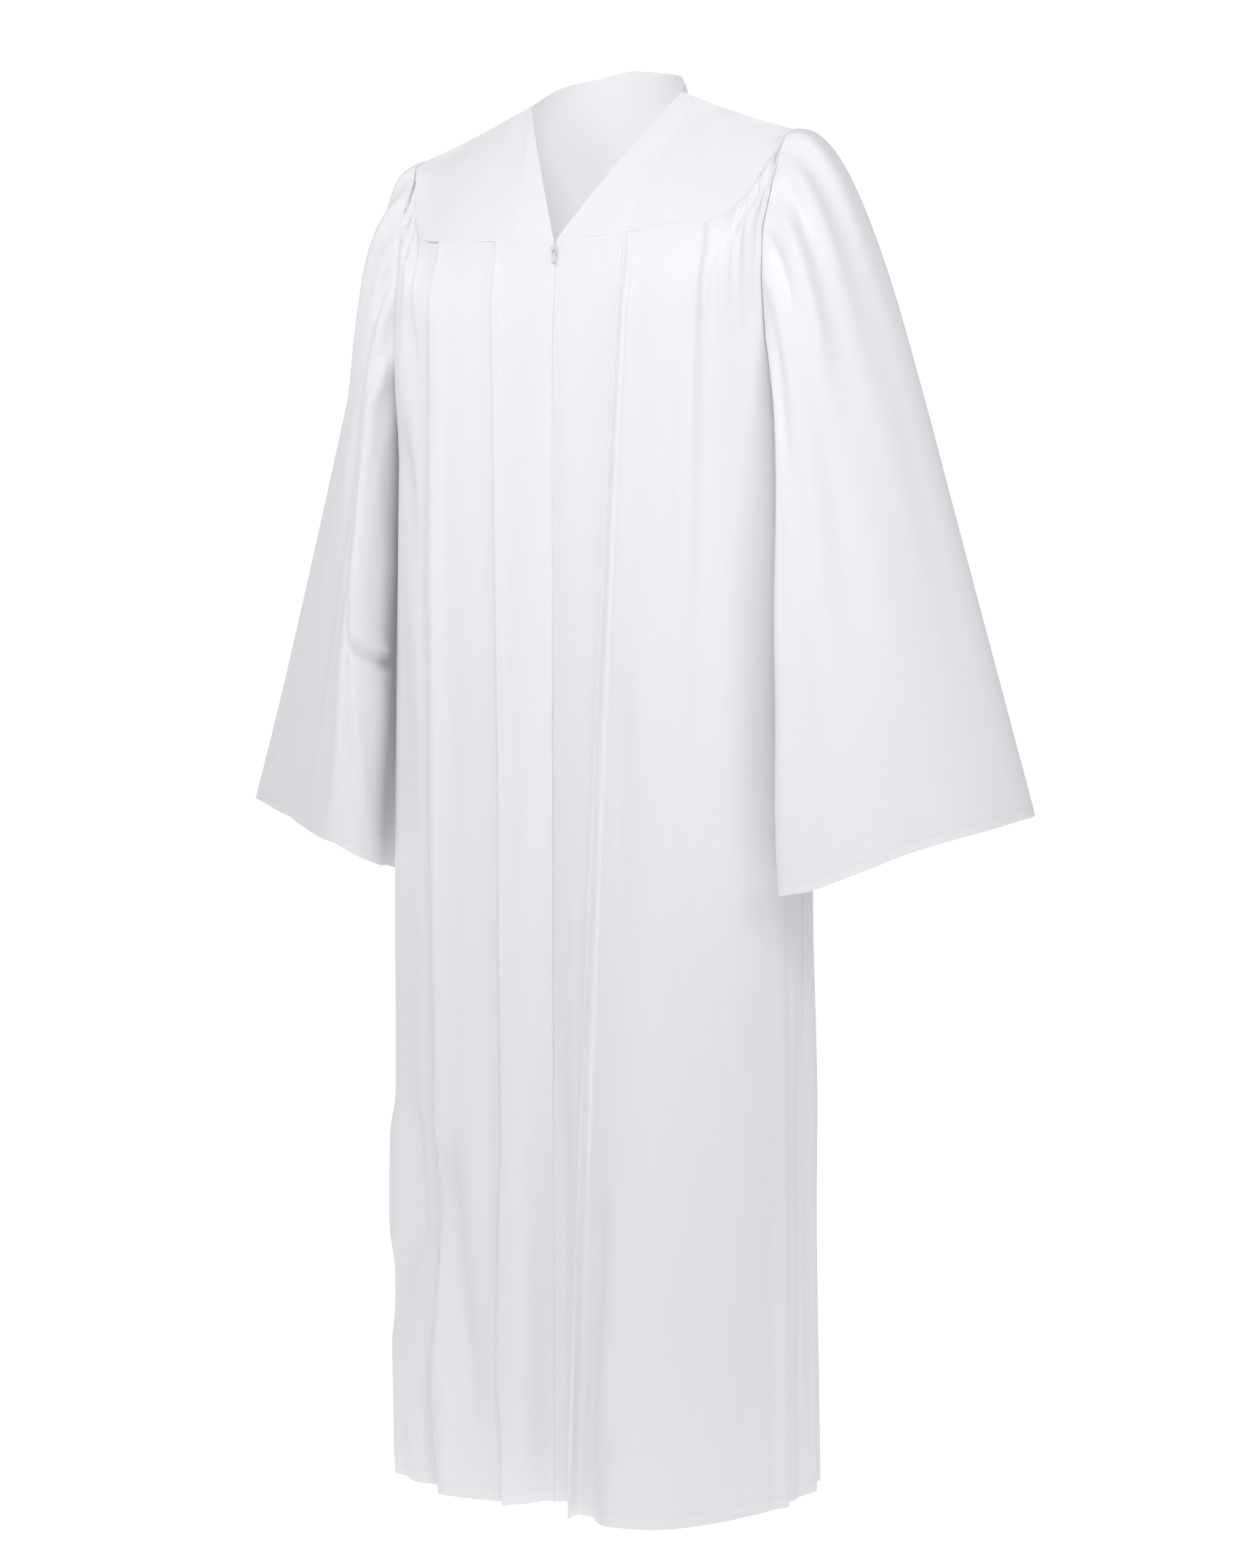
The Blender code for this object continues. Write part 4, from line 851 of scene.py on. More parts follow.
def sleeve_surface(folds, hang, crease_table, seed):
    """Sleeve on the wearer's left side of the body, from the solids' table on finer lines."""
    rounds = closer(np.append(np.asarray(folds)[:, 0], 1.0), COLUMN_STEP)[:-1]
    end, outs = round_table(folds, rounds)
    start = armhole_ring(rounds)
    high = np.cos(2 * np.pi * rounds)
    fore = np.sin(2 * np.pi * rounds)
    outer = (1 + high) / 2
    belly = np.exp(-((rounds - SLEEVE_BELLY["round"]) / SLEEVE_BELLY["width"]) ** 2)
    leave = start + np.stack([
        SLEEVE_INNER_LEAVE[0] * (1 - outer) + hang["leave"][0] * outer,
        SLEEVE_FORE_LEAVE * fore + SLEEVE_BELLY["leave"] * belly,
        SLEEVE_INNER_LEAVE[1] * (1 - outer) + hang["leave"][1] * outer], axis=1)
    arrive = end + np.stack([
        SLEEVE_INNER_ARRIVE[0] * (1 - outer) + hang["arrive"][0] * outer,
        SLEEVE_INNER_BEHIND * (1 - outer) + SLEEVE_OUTER_BEHIND * outer
        + SLEEVE_BELLY["arrive"] * belly,
        SLEEVE_INNER_ARRIVE[1] * (1 - outer) + hang["arrive"][1] * outer], axis=1)
    shares = np.linspace(0.0, 1.0, SLEEVE_LINES) ** SLEEVE_CROWD
    t = shares[:, None, None]
    grid = (1 - t) ** 3 * start + 3 * t * (1 - t) ** 2 * leave
    grid = grid + 3 * t ** 2 * (1 - t) * arrive + t ** 3 * end
    normals = grid_normals(grid, closed=True)
    stops = np.vstack([SEAM_RELIEF * outs[:, 0], outs.T])
    relief = SLEEVE_CALM * monotone(SLEEVE_OUT_AT, stops, shares)
    share = shares[:, None]
    ring = rounds[None, :]
    cap = np.maximum(0.0, np.cos(2 * np.pi * ring)) ** CAP_POWER
    height, fall, power, start = CAP_GATHERS
    gathers = round_waves(seed, ring, CAP_GATHER_COUNTS) * cap
    relief += height * gathers * np.exp(-(share / fall) ** power) * ease(share / start)
    height, lean, turn, start = SLEEVE_SWELL
    swells = round_waves(seed + 1, ring + lean * np.sin(turn * share), SLEEVE_SWELL_COUNTS)
    relief += height * swells * ease(share / start)
    height, wide, long, reach, rise = SLEEVE_WAVES
    relief += height * waves(seed + 2, high * wide, share * long, reach, rise)
    relief += round_creases(crease_table, ring, share)
    grid = grid + normals * (relief * ease(share / ROW_FADE))[..., None]
    return grid, grid_normals(grid, closed=True)


def round_waves(seed, ring, counts):
    """Waves round a sleeve, each with a whole number of them, so that they join up."""
    chance = np.random.default_rng(seed)
    total = 0.0
    for count in counts:
        total = total + np.sin(2 * np.pi * (count * ring + chance.uniform()))
    return total / np.sqrt(len(counts)) / WAVE_PEAK


def round_creases(table, ring, share):
    """Creases of a sleeve: both ends as place round and share of the way down."""
    total = np.zeros(np.broadcast(ring, share).shape)
    for r0, s0, r1, s1, half, depth in table:
        across = (np.mod(ring - r0 + 0.5, 1.0) - 0.5) * SLEEVE_GIRTH
        down = (share - s0) * SLEEVE_REACH
        run = np.array([(r1 - r0) * SLEEVE_GIRTH, (s1 - s0) * SLEEVE_REACH])
        aside, whole = crease_frame(across, down, run, SLEEVE_CREASE_TAPER)
        total += whole * depth * np.exp(-(aside / half) ** 2)
    return total


def shell_object(node, outer, normals, mirror, closed, material, facing=None):
    """Thin closed shell between a grid and the same grid one cloth thickness in, with its cloth
    coordinates: metres round the piece and metres up from its lower edge."""
    inner = outer - normals * SHELL
    rows, columns = outer.shape[:2]
    if mirror:
        outer = outer * np.array([-1.0, 1.0, 1.0])
        inner = inner * np.array([-1.0, 1.0, 1.0])
    count = rows * columns
    index = np.arange(count).reshape(rows, columns)
    rims = [index[0], index[-1, ::-1], index[::-1, 0], index[:, -1]]
    ring = outer
    if closed:
        index = np.concatenate([index, index[:, :1]], axis=1)
        rims = [index[0], index[-1, ::-1]]
        ring = np.concatenate([outer, outer[:, :1]], axis=1)
    a, b, c, d = index[:-1, :-1], index[:-1, 1:], index[1:, 1:], index[1:, :-1]
    faces = [np.stack([a, b, c, d], axis=-1).reshape(-1, 4)]
    faces.append(np.stack([a, d, c, b], axis=-1).reshape(-1, 4) + count)
    for rim in rims:
        start, end = rim[:-1], rim[1:]
        faces.append(np.stack([start, start + count, end + count, end], axis=-1))
    faces = np.concatenate(faces)
    points = np.concatenate([outer.reshape(-1, 3), inner.reshape(-1, 3)])
    mesh = bpy.data.meshes.new(node + "_cloth")
    mesh.from_pydata(points.tolist(), [], faces.tolist())
    if signed_volume(points, faces) < 0:
        mesh.flip_normals()
    across = np.append(0.0, np.cumsum(np.linalg.norm(np.diff(ring[rows // 2], axis=0), axis=1)))
    steps = np.linalg.norm(np.diff(outer, axis=0), axis=2)
    up = np.zeros((rows, columns))
    up[:-1] = np.cumsum(steps[::-1], axis=0)[::-1]
    cloth = np.stack([np.tile(across[:columns], (rows, 1)), up], axis=-1).reshape(-1, 2)
    loops = np.zeros(len(mesh.loops), int)
    mesh.loops.foreach_get("vertex_index", loops)
    per_loop = np.concatenate([cloth, cloth])[loops]
    if closed:
        # faces over the join run on past the last column instead of back to the first
        place = per_loop.reshape(-1, 4, 2)[..., 0]
        half_way = across[-1] / 2
        over = place.max(axis=1) - place.min(axis=1) > half_way
        place += np.where(over[:, None] & (place < half_way), across[-1], 0.0)
    layer = mesh.uv_layers.new(name="cloth")
    layer.data.foreach_set("uv", per_loop.astype(np.float32).ravel())
    amount = np.zeros(count) if facing is None else facing.ravel()
    drop = np.append(0.0, np.cumsum(steps.mean(axis=1)))
    for name, values in (("facing", amount), ("drop", np.repeat(drop, columns))):
        store = mesh.attributes.new(name, "FLOAT", "POINT")
        store.data.foreach_set("value", np.tile(values, 2).astype(np.float32))
    mesh.shade_smooth()
    mesh.set_sharp_from_angle(angle=np.radians(CLOTH_SHARP_ANGLE))
    mesh.materials.append(material)
    thing = linked(node + "_cloth", mesh)
    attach(thing, "robe")
    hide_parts(node)
    return thing


def signed_volume(points, faces):
    a, b, c, d = (points[faces[:, k]] for k in range(4))
    first = np.einsum("ij,ij->i", a, np.cross(b, c)).sum()
    return first + np.einsum("ij,ij->i", a, np.cross(c, d)).sum()


class Nodes:
    """Short calls for building the node tree of a material or a world."""

    def __init__(self, owner, shader="Principled BSDF"):
        owner.use_nodes = True
        self.tree = owner.node_tree
        self.shader = self.tree.nodes[shader]

    def fill(self, **values):
        """Constants of the shader, named as its sockets are, with _ for a space."""
        for name, value in values.items():
            self.shader.inputs[name.replace("_", " ")].default_value = value

    def add(self, kind, **settings):
        node = self.tree.nodes.new(kind)
        for key, value in settings.items():
            setattr(node, key, value)
        return node

    def link(self, source, target):
        self.tree.links.new(source, target)

    def put(self, value, socket):
        if hasattr(value, "is_output"):
            self.link(value, socket)
        else:
            socket.default_value = value

    def math(self, operation, a, b=0.0, c=None):
        node = self.add("ShaderNodeMath", operation=operation)
        self.put(a, node.inputs[0])
        self.put(b, node.inputs[1])
        if c is not None:
            self.put(c, node.inputs[2])
        return node.outputs[0]

    def noise(self, vector, scale, detail=2.0):
        node = self.add("ShaderNodeTexNoise")
        node.inputs["Scale"].default_value = scale
        node.inputs["Detail"].default_value = detail
        self.link(vector, node.inputs["Vector"])
        return node.outputs["Fac"]

    def scaled(self, vector, factors):
        node = self.add("ShaderNodeVectorMath", operation="MULTIPLY")
        self.link(vector, node.inputs[0])
        node.inputs[1].default_value = factors
        return node.outputs[0]

    def dot(self, vector, direction):
        node = self.add("ShaderNodeVectorMath", operation="DOT_PRODUCT")
        self.link(vector, node.inputs[0])
        node.inputs[1].default_value = direction
        return node.outputs["Value"]

    def paint(self, factor, low, high):
        """Base colour that runs from one colour to another."""
        mix = self.add("ShaderNodeMix", data_type="RGBA", clamp_factor=True)
        mix.inputs["A"].default_value = (*low, 1.0)
        mix.inputs["B"].default_value = (*high, 1.0)
        self.link(factor, mix.inputs["Factor"])
        self.link(mix.outputs["Result"], self.shader.inputs["Base Color"])

    def grain(self, height, strength, distance):
        """Fine relief of the surface."""
        bump = self.add("ShaderNodeBump")
        bump.inputs["Strength"].default_value = strength
        bump.inputs["Distance"].default_value = distance
        self.link(height, bump.inputs["Height"])
        self.link(bump.outputs["Normal"], self.shader.inputs["Normal"])

    def attribute(self, name):
        node = self.add("ShaderNodeAttribute", attribute_name=name)
        return node.outputs["Fac"]

    def stitch_line(self, place, at, run):
        """1 on a row of stitches that runs at the given place, 0 elsewhere."""
        off = self.math("ABSOLUTE", self.math("SUBTRACT", place, at))
        line = self.math("LESS_THAN", off, STITCH_HALF)
        beat = self.math("FRACT", self.math("DIVIDE", run, STITCH_PITCH))
        dash = self.math("LESS_THAN", beat, STITCH_SHARE)
        return self.math("MULTIPLY", line, dash)

    def valley(self, place, at, half):
        """1 at the given place, falling softly to 0 on both sides."""
        off = self.math("DIVIDE", self.math("SUBTRACT", place, at), half)
        square = self.math("MULTIPLY", off, off)
        return self.math("POWER", EULER, self.math("MULTIPLY", square, -1.0))

    def total(self, *parts):
        """Sum of values, each given with its weight."""
        made = 0.0
        for value, weight in parts:
            made = self.math("MULTIPLY_ADD", value, weight, made)
        return made


def cloth_look(name, hem_at=None, top_at=None):
    """Matte woven polyester: plain weave, slubs down the cloth, faint mottling, stitched edges with
    painted shade in their grooves.
    """
    material = bpy.data.materials.new(name)
    nodes = Nodes(material)
    coordinates = nodes.add("ShaderNodeUVMap", uv_map="cloth").outputs["UV"]
    split = nodes.add("ShaderNodeSeparateXYZ")
    nodes.link(coordinates, split.inputs[0])
    across, up = split.outputs[0], split.outputs[1]

    warp = nodes.math("SINE", nodes.math("MULTIPLY", across, 2 * np.pi / THREAD))
    weft = nodes.math("SINE", nodes.math("MULTIPLY", up, 2 * np.pi / THREAD))
    weave = nodes.math("MULTIPLY", warp, weft)
    slub = nodes.noise(nodes.scaled(coordinates, SLUBS), 1.0, 3.0)
    cross_slub = nodes.noise(nodes.scaled(coordinates, CROSS_SLUBS), 1.0, 2.0)
    mottle = nodes.noise(nodes.scaled(coordinates, MOTTLE), 1.0, 3.0)

    facing = nodes.attribute("facing")
    tone = nodes.total(*zip((slub, cross_slub, mottle, facing), CLOTH_TONE))
    height = nodes.total(*zip((weave, slub, cross_slub), CLOTH_HEIGHT))

    dark = 0.0
    if hem_at is not None:
        line = nodes.stitch_line(up, hem_at, across)
        groove = nodes.valley(up, hem_at, HEM_GROOVE)
        below = nodes.math("LESS_THAN", up, hem_at)
        height = nodes.total(*zip((height, groove, line), HEM_HEIGHT))
        # the groove is darkened as painted shade; the cloth below the hem's stitches is a little
        # lighter
        dark = nodes.total(*zip((groove, below), HEM_PAINTED_SHADE_AND_TONE))
    if top_at is not None:
        drop = nodes.attribute("drop")
        line = nodes.stitch_line(drop, top_at, across)
        groove = nodes.valley(drop, top_at, TOP_GROOVE)
        height = nodes.total(*zip((height, groove, line), TOP_HEIGHT))
        # the topstitch groove is darkened as painted shade
        dark = nodes.total((groove, TOP_GROOVE_PAINTED_SHADE))
    tone = nodes.math("SUBTRACT", tone, dark)

    nodes.paint(nodes.math("MULTIPLY_ADD", tone, *CLOTH_RAMP), CLOTH_SHADE, CLOTH_LIGHT)
    nodes.grain(height, *CLOTH_GRAIN)
    nodes.fill(Roughness=0.82, Specular_IOR_Level=0.28, Sheen_Weight=0.18, Sheen_Roughness=0.45)
    return material


# Creases of the front panels: distance round from the centre, distance below the shoulder, the
# same at the other end, half width, depth (troughs are minus) and which side its ridge is on
FRONT_LEFT_CREASES = (
    (0.134, 0.108, 0.131, 0.480, 0.007, -0.0022, -1),
    (0.155, 0.105, 0.160, 0.210, 0.005, -0.0012, -1),
    (0.075, 0.450, 0.088, 1.150, 0.015, -0.0016, 1),
    (0.165, 0.820, 0.196, 0.960, 0.006, -0.0013, 1),
    (0.010, 0.880, 0.006, 1.420, 0.017, -0.0090, -1),
    (0.059, 1.000, 0.051, 1.380, 0.009, -0.0080, 1),
    (0.080, 1.220, 0.060, 1.345, 0.009, -0.0040, 1),
)
FRONT_RIGHT_CREASES = (
    (0.122, 0.120, 0.125, 0.900, 0.006, 0.0022, 1),
    (0.172, 0.150, 0.140, 0.330, 0.012, -0.0045, 1),
    (0.196, 0.240, 0.150, 0.520, 0.014, -0.0040, -1),
    (0.135, 0.110, 0.130, 0.300, 0.005, -0.0024, -1),
    (0.150, 0.150, 0.158, 0.600, 0.008, -0.0030, 1),
    (0.112, 0.970, 0.078, 1.280, 0.016, -0.0140, -1),
    (0.185, 0.940, 0.160, 1.120, 0.018, -0.0130, 1),
    (0.160, 1.150, 0.140, 1.345, 0.018, -0.0120, 1),
    (0.126, 1.130, 0.104, 1.350, 0.012, 0.0060, 1),
    (0.040, 0.500, 0.030, 1.200, 0.010, -0.0008, 1),
    (0.000, 0.880, 0.000, 1.420, 0.014, -0.0080, -1),
    (0.080, 0.900, 0.100, 1.330, 0.014, 0.0018, -1),
)
# Pressed pleat lines: share of the panel's width, half width, depth, distance below at both ends
FRONT_LEFT_PLEATS = (
    (0.249, 0.0016, -0.0018, 0.105, 1.34),
    (0.262, 0.0012, 0.0010, 0.105, 1.34),
    (0.283, 0.0015, -0.0011, 0.115, 0.95),
)
FRONT_RIGHT_PLEATS = (
    (0.228, 0.0014, 0.0010, 0.105, 1.34),
    (0.238, 0.0016, -0.0020, 0.105, 1.34),
)
# From which share of the width on, and by how much, the folds half way down are evened out
FRONT_CALM = {"left": (0.27, 0.75), "right": (0.60, 0.60)}
BACK_CREASES = (
    (0.030, 0.300, 0.045, 0.900, 0.012, -0.0016, 1),
    (0.080, 0.500, 0.070, 1.200, 0.014, -0.0018, -1),
    (0.130, 0.250, 0.145, 0.700, 0.010, -0.0016, 1),
    (0.160, 0.850, 0.135, 1.300, 0.015, -0.0020, 1),
    (0.200, 0.450, 0.190, 1.000, 0.012, -0.0014, -1),
)
# Creases of the sleeves: place round and share of the way down at both ends, half width, depth
SLEEVE_LEFT_CREASES = (
    (0.205, 0.02, 0.215, 0.34, 0.007, -0.0040),
    (0.105, 0.03, 0.130, 0.30, 0.008, -0.0038),
    (0.155, 0.05, 0.170, 0.55, 0.010, 0.0030),
    (0.300, 0.10, 0.310, 0.60, 0.012, -0.0024),
    (0.250, 0.30, 0.240, 0.85, 0.018, 0.0022),
    (0.180, 0.45, 0.200, 0.90, 0.016, -0.0016),
    (0.060, 0.10, 0.080, 0.70, 0.014, -0.0018),
    (0.760, 0.06, 0.770, 0.60, 0.010, -0.0036),
    (0.850, 0.04, 0.840, 0.75, 0.012, -0.0028),
    (0.690, 0.20, 0.700, 0.90, 0.014, 0.0024),
)
SLEEVE_RIGHT_CREASES = (
    (0.210, 0.02, 0.200, 0.30, 0.008, -0.0050),
    (0.330, 0.05, 0.300, 0.40, 0.010, 0.0045),
    (0.362, 0.714, 0.510, 0.638, 0.008, -0.0060),
    (0.370, 0.694, 0.505, 0.612, 0.007, 0.0036),
    (0.348, 0.560, 0.418, 0.985, 0.008, -0.0040),
    (0.385, 0.720, 0.446, 0.985, 0.010, 0.0034),
    (0.290, 0.620, 0.300, 0.980, 0.012, 0.0024),
    (0.235, 0.40, 0.245, 0.95, 0.014, -0.0040),
    (0.120, 0.10, 0.140, 0.80, 0.014, 0.0020),
    (0.760, 0.06, 0.770, 0.60, 0.010, -0.0036),
    (0.850, 0.04, 0.840, 0.75, 0.012, -0.0028),
    (0.690, 0.20, 0.700, 0.90, 0.014, 0.0024),
)


def build_fronts():
    """Front panels and yokes, and the left panel's edge at the centre, which the zip follows."""
    made = []
    for side, folds, table, pleats, seed in (
            ("left", FRONT_LEFT_FOLDS, FRONT_LEFT_CREASES, FRONT_LEFT_PLEATS, 11),
            ("right", FRONT_RIGHT_FOLDS, FRONT_RIGHT_CREASES, FRONT_RIGHT_PLEATS, 23)):
        mirror = side == "right"
        node = "front_panel_" + side
        grid, normals = cloth_panel("front", folds, table, seed, pleats, FRONT_CALM[side])
        look = cloth_look("cloth_" + node, hem_at=HEM_STITCH)
        made.append(shell_object(node, grid, normals, mirror, False, look))
        if not mirror:
            edge = grid[:, 0].copy()
        node = "front_yoke_" + side
        grid, normals, facing = front_yoke_surface(folds, FACING_EDGE[side], seed + 5)
        look = cloth_look("cloth_" + node, top_at=YOKE_STITCH)
        made.append(shell_object(node, grid, normals, mirror, False, look, facing))
    return made, edge


def build_backs():
    made = []
    for side, seed in (("left", 37), ("right", 53)):
        node = "back_panel_" + side
        grid, normals = cloth_panel("back", back_folds(), BACK_CREASES, seed)
        look = cloth_look("cloth_" + node, hem_at=HEM_STITCH)
        made.append(shell_object(node, grid, normals, side == "right", False, look))
    grid, normals = back_yoke_surface(61)
    look = cloth_look("cloth_back_yoke", top_at=YOKE_STITCH)
    made.append(shell_object("back_yoke", grid, normals, False, False, look))
    return made


def build_sleeves():
    made = []
    for side, folds, hang, table, seed in (
            ("left", SLEEVE_LEFT_FOLDS, SLEEVE_LEFT_HANG, SLEEVE_LEFT_CREASES, 71),
            ("right", SLEEVE_RIGHT_FOLDS, SLEEVE_RIGHT_HANG, SLEEVE_RIGHT_CREASES, 89)):
        node = "sleeve_" + side
        grid, normals = sleeve_surface(folds, hang, table, seed)
        look = cloth_look("cloth_" + node, hem_at=CUFF_STITCH)
        made.append(shell_object(node, grid, normals, side == "right", True, look))
    return made


# Zip in detail
TOOTH_PITCH = 0.0016
TOOTH_WIDTH = 0.0009
TOOTH_HEIGHT = 0.0011
TOOTH_DEPTH = 0.0007
TOOTH_ASIDE = 0.00028       # every other tooth stands this far to the other side
TOOTH_SUNK = 0.0002
BAIL_POINTS = 8
# Right half of each outline, from one end of its middle line to the other, as shares of half
# the slider's width and height
SLIDER_OUTLINE = ((0.62, -1.0), (0.80, -0.3), (1.0, 0.35), (0.86, 0.85), (0.4, 1.0))
STEM_WIDTH_SHARE = 0.17
SLIDER_BEVEL = 0.0005
TOOTH_BODY = 0.6            # shares of a tooth's height and depth that are drawn
TOOTH_NARROW = 0.6
TOOTH_TIP = 0.7
ZIP_END = 0.002             # no teeth this close to the chain's ends
BAIL_RINGS = 17
BAIL_SQUARE = 5             # the higher, the squarer the bail's corners
BAIL_BENDS_AT = 0.7
BAIL_LEG_SLOPE = 0.2
TAB_BEVEL = 0.0002
# Right half of the tab and of its slot: share of the half width, end (0 top, 1 bottom) and
# distance from that end
TAB_EDGE = ((0.72, 0, 0.0), (0.86, 0, -0.0030), (1.0, 1, 0.0030), (0.90, 1, 0.0009),
            (0.5, 1, 0.0))
SLOT_EDGE = ((1.0, 0, 0.0), (1.0, 0, -0.0012), (1.0, 1, 0.0008), (0.8, 1, 0.0002),
             (0.4, 1, 0.0))
# Plain looks: colour, roughness, metallic share and scale of the specks
TEETH_LOOK = ((0.86, 0.86, 0.87), 0.35, 0.0, 900.0)
ENAMEL_LOOK = ((0.84, 0.84, 0.85), 0.30, 0.25, 700.0)
SPECK_SHADE = 0.90
SPECK_RAMP = (2.0, -0.4)
SPECK_GRAIN = (0.3, 0.0001)
PART_SHARP_ANGLE = 40
TAPE_RIB = 0.0009
TAPE_SHADE = (0.80, 0.80, 0.82)
TAPE_LIGHT = (0.88, 0.88, 0.89)
TAPE_RAMP = (0.4, 0.5)
TAPE_GRAIN = (0.4, 0.0002)
TAPE_ROUGHNESS = 0.8


def plain_look(name, colour, roughness, metallic, grain):
    material = bpy.data.materials.new(name)
    nodes = Nodes(material)
    place = nodes.add("ShaderNodeTexCoord").outputs["Object"]
    speck = nodes.noise(place, grain, 3.0)
    shade = [SPECK_SHADE * part for part in colour]
    nodes.paint(nodes.math("MULTIPLY_ADD", speck, *SPECK_RAMP), shade, colour)
    nodes.grain(speck, *SPECK_GRAIN)
    nodes.fill(Roughness=roughness, Metallic=metallic)
    return material


def mesh_object(name, points, faces, material, body="robe", bevel=0.0):
    mesh = bpy.data.meshes.new(name)
    mesh.from_pydata([tuple(p) for p in points], [], faces)
    mesh.materials.append(material)
    thing = linked(name, mesh)
    if bevel:
        soften = thing.modifiers.new("soften", "BEVEL")
        soften.width = bevel
        soften.segments = 2
        soften.limit_method = "ANGLE"
    mesh.shade_smooth()
    mesh.set_sharp_from_angle(angle=np.radians(PART_SHARP_ANGLE))
    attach(thing, body)
    return thing


def mirrored(half):
    """Closed outline from its right half."""
    left = [(-x, z) for x, z in half]
    return left[:1] + half + left[:0:-1]


def band(near, far, count):
    """Quads between two rings of points, each given by the number of its first point."""
    turns = [(k, (k + 1) % count) for k in range(count)]
    return [[near + k, near + n, far + n, far + k] for k, n in turns]


def slab(outline, near, far):
    """Points and faces of an outline in X and Z, from y = near to y = far."""
    count = len(outline)
    points = [(x, near, z) for x, z in outline] + [(x, far, z) for x, z in outline]
    ends = [list(range(count)), list(range(2 * count - 1, count - 1, -1))]
    return points, ends + band(count, 0, count)


def build_teeth(edge):
    """Teeth in the slit, on the line of the front's edge."""
    tape_look = cloth_plain("zip_tape_look")
    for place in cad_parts["zip_chain"].material_slots:
        place.material = tape_look
    w, h = TOOTH_WIDTH / 2, TOOTH_HEIGHT / 2 * TOOTH_BODY
    n = w * TOOTH_NARROW
    ring = [(-w, 0.0), (-n, h), (n, h), (w, 0.0), (n, -h), (-n, -h)]
    tip = TOOTH_TIP
    points, faces = [], []
    for k, z in enumerate(np.arange(ZIP_TOP - ZIP_END, ZIP_BOTTOM + ZIP_END, -TOOTH_PITCH / 2)):
        aside = TOOTH_ASIDE if k % 2 else -TOOTH_ASIDE
        y = np.interp(-z, -edge[:, 2], edge[:, 1]) + ZIP_CHAIN_RECESS
        base = len(points)
        points.extend((aside + x, y + TOOTH_SUNK, z + t) for x, t in ring)
        points.extend((aside + x * tip, y - TOOTH_DEPTH * TOOTH_BODY, z + t * tip) for x, t in ring)
        faces += band(base, base + 6, 6) + [[base + 6 + j for j in range(6)]]
    look = plain_look("teeth_look", *TEETH_LOOK)
    mesh_object("zip_teeth", points, faces, look)


def build_slider(enamel):
    """Slider's plate and stem, and the bail that holds the tab."""
    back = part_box("zip_slider")[1].y
    face = back - (SLIDER_CLEARANCE + ZIP_CHAIN_RECESS - STEM_CLEAR)
    front = face - SLIDER_PLATE
    outline = mirrored([(SLIDER_WIDTH / 2 * x, SLIDER_HEIGHT / 2 * z) for x, z in SLIDER_OUTLINE])
    points, faces = slab([(x, SLIDER_Z + z) for x, z in outline], face, front)
    stem = [(x * STEM_WIDTH_SHARE, SLIDER_Z + z * STEM_SHARE) for x, z in outline]
    stem_points, stem_faces = slab(stem, back, face - SLIDER_PLATE / 2)
    faces += [[len(points) + v for v in f] for f in stem_faces]
    points += stem_points
    slider = mesh_object("zip_slider_detail", points, faces, enamel,
                         bevel=SLIDER_BEVEL)
    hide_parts("zip_slider")

    points, faces = [], []
    radius = BAIL_BAR / 2
    stands = BAIL_CLEAR + radius + BAIL_ROOT
    for t in np.linspace(-1.0, 1.0, BAIL_RINGS):
        z = t * (BAIL_HEIGHT / 2 - radius)
        y = front + BAIL_ROOT - stands * (1 - abs(t) ** BAIL_SQUARE)
        slope = 1.0 if abs(t) < BAIL_BENDS_AT else BAIL_LEG_SLOPE
        if points:
            faces += band(len(points) - BAIL_POINTS, len(points), BAIL_POINTS)
        for a in np.linspace(0.0, 2 * np.pi, BAIL_POINTS + 1)[:-1]:
            points.append((BAIL_WIDTH / 2 * np.cos(a), y + radius * np.sin(a) * slope,
                           SLIDER_Z + z + radius * np.sin(a) * (1 - slope) * np.sign(t)))
    faces.append(list(range(BAIL_POINTS)))
    faces.append(list(range(len(points) - BAIL_POINTS, len(points))))
    mesh_object("zip_bail_detail", points, faces, enamel)


def tab_outline(half, ends, edge):
    """Closed outline from a table of half widths, the end each is measured from and how far."""
    return mirrored([(half * x, ends[end] + z) for x, end, z in edge])


def build_tab(enamel):
    """Pull tab with its slot, hanging on the bail."""
    low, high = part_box("zip_pull")
    middle, top, bottom = (low.y + high.y) / 2, high.z, low.z
    outer = tab_outline(TAB_WIDTH / 2, (top, bottom), TAB_EDGE)
    slot_top = SLIDER_Z - TAB_THICKNESS / 2
    slot_low = SLIDER_Z - TAB_SLOT
    inner = tab_outline(TAB_SLOT_WIDTH / 2, (slot_top, slot_low), SLOT_EDGE)
    count = len(outer)
    points = []
    for y in (middle + TAB_THICKNESS / 2, middle - TAB_THICKNESS / 2):
        points += [(x, y, z) for x, z in outer + inner]
    faces = band(0, count, count) + band(3 * count, 2 * count, count)
    faces += band(2 * count, 0, count) + band(count, 3 * count, count)
    pull = mesh_object("zip_pull_detail", points, faces, enamel, "pull_tab", TAB_BEVEL)
    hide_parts("zip_pull")


def cloth_plain(name):
    """Woven zip tape: fine herringbone on the object's own coordinates."""
    material = bpy.data.materials.new(name)
    nodes = Nodes(material)
    place = nodes.add("ShaderNodeTexCoord").outputs["Object"]
    split = nodes.add("ShaderNodeSeparateXYZ")
    nodes.link(place, split.inputs[0])
    slant = nodes.math("ADD", nodes.math("ABSOLUTE", split.outputs[0]), split.outputs[2])
    rib = nodes.math("SINE", nodes.math("MULTIPLY", slant, 2 * np.pi / TAPE_RIB))
    nodes.paint(nodes.math("MULTIPLY_ADD", rib, *TAPE_RAMP), TAPE_SHADE, TAPE_LIGHT)
    nodes.grain(rib, *TAPE_GRAIN)
    nodes.fill(Roughness=TAPE_ROUGHNESS)
    return material


# Studio
FLOOR_Z = -1.50
WORLD_EVEN = 0.37
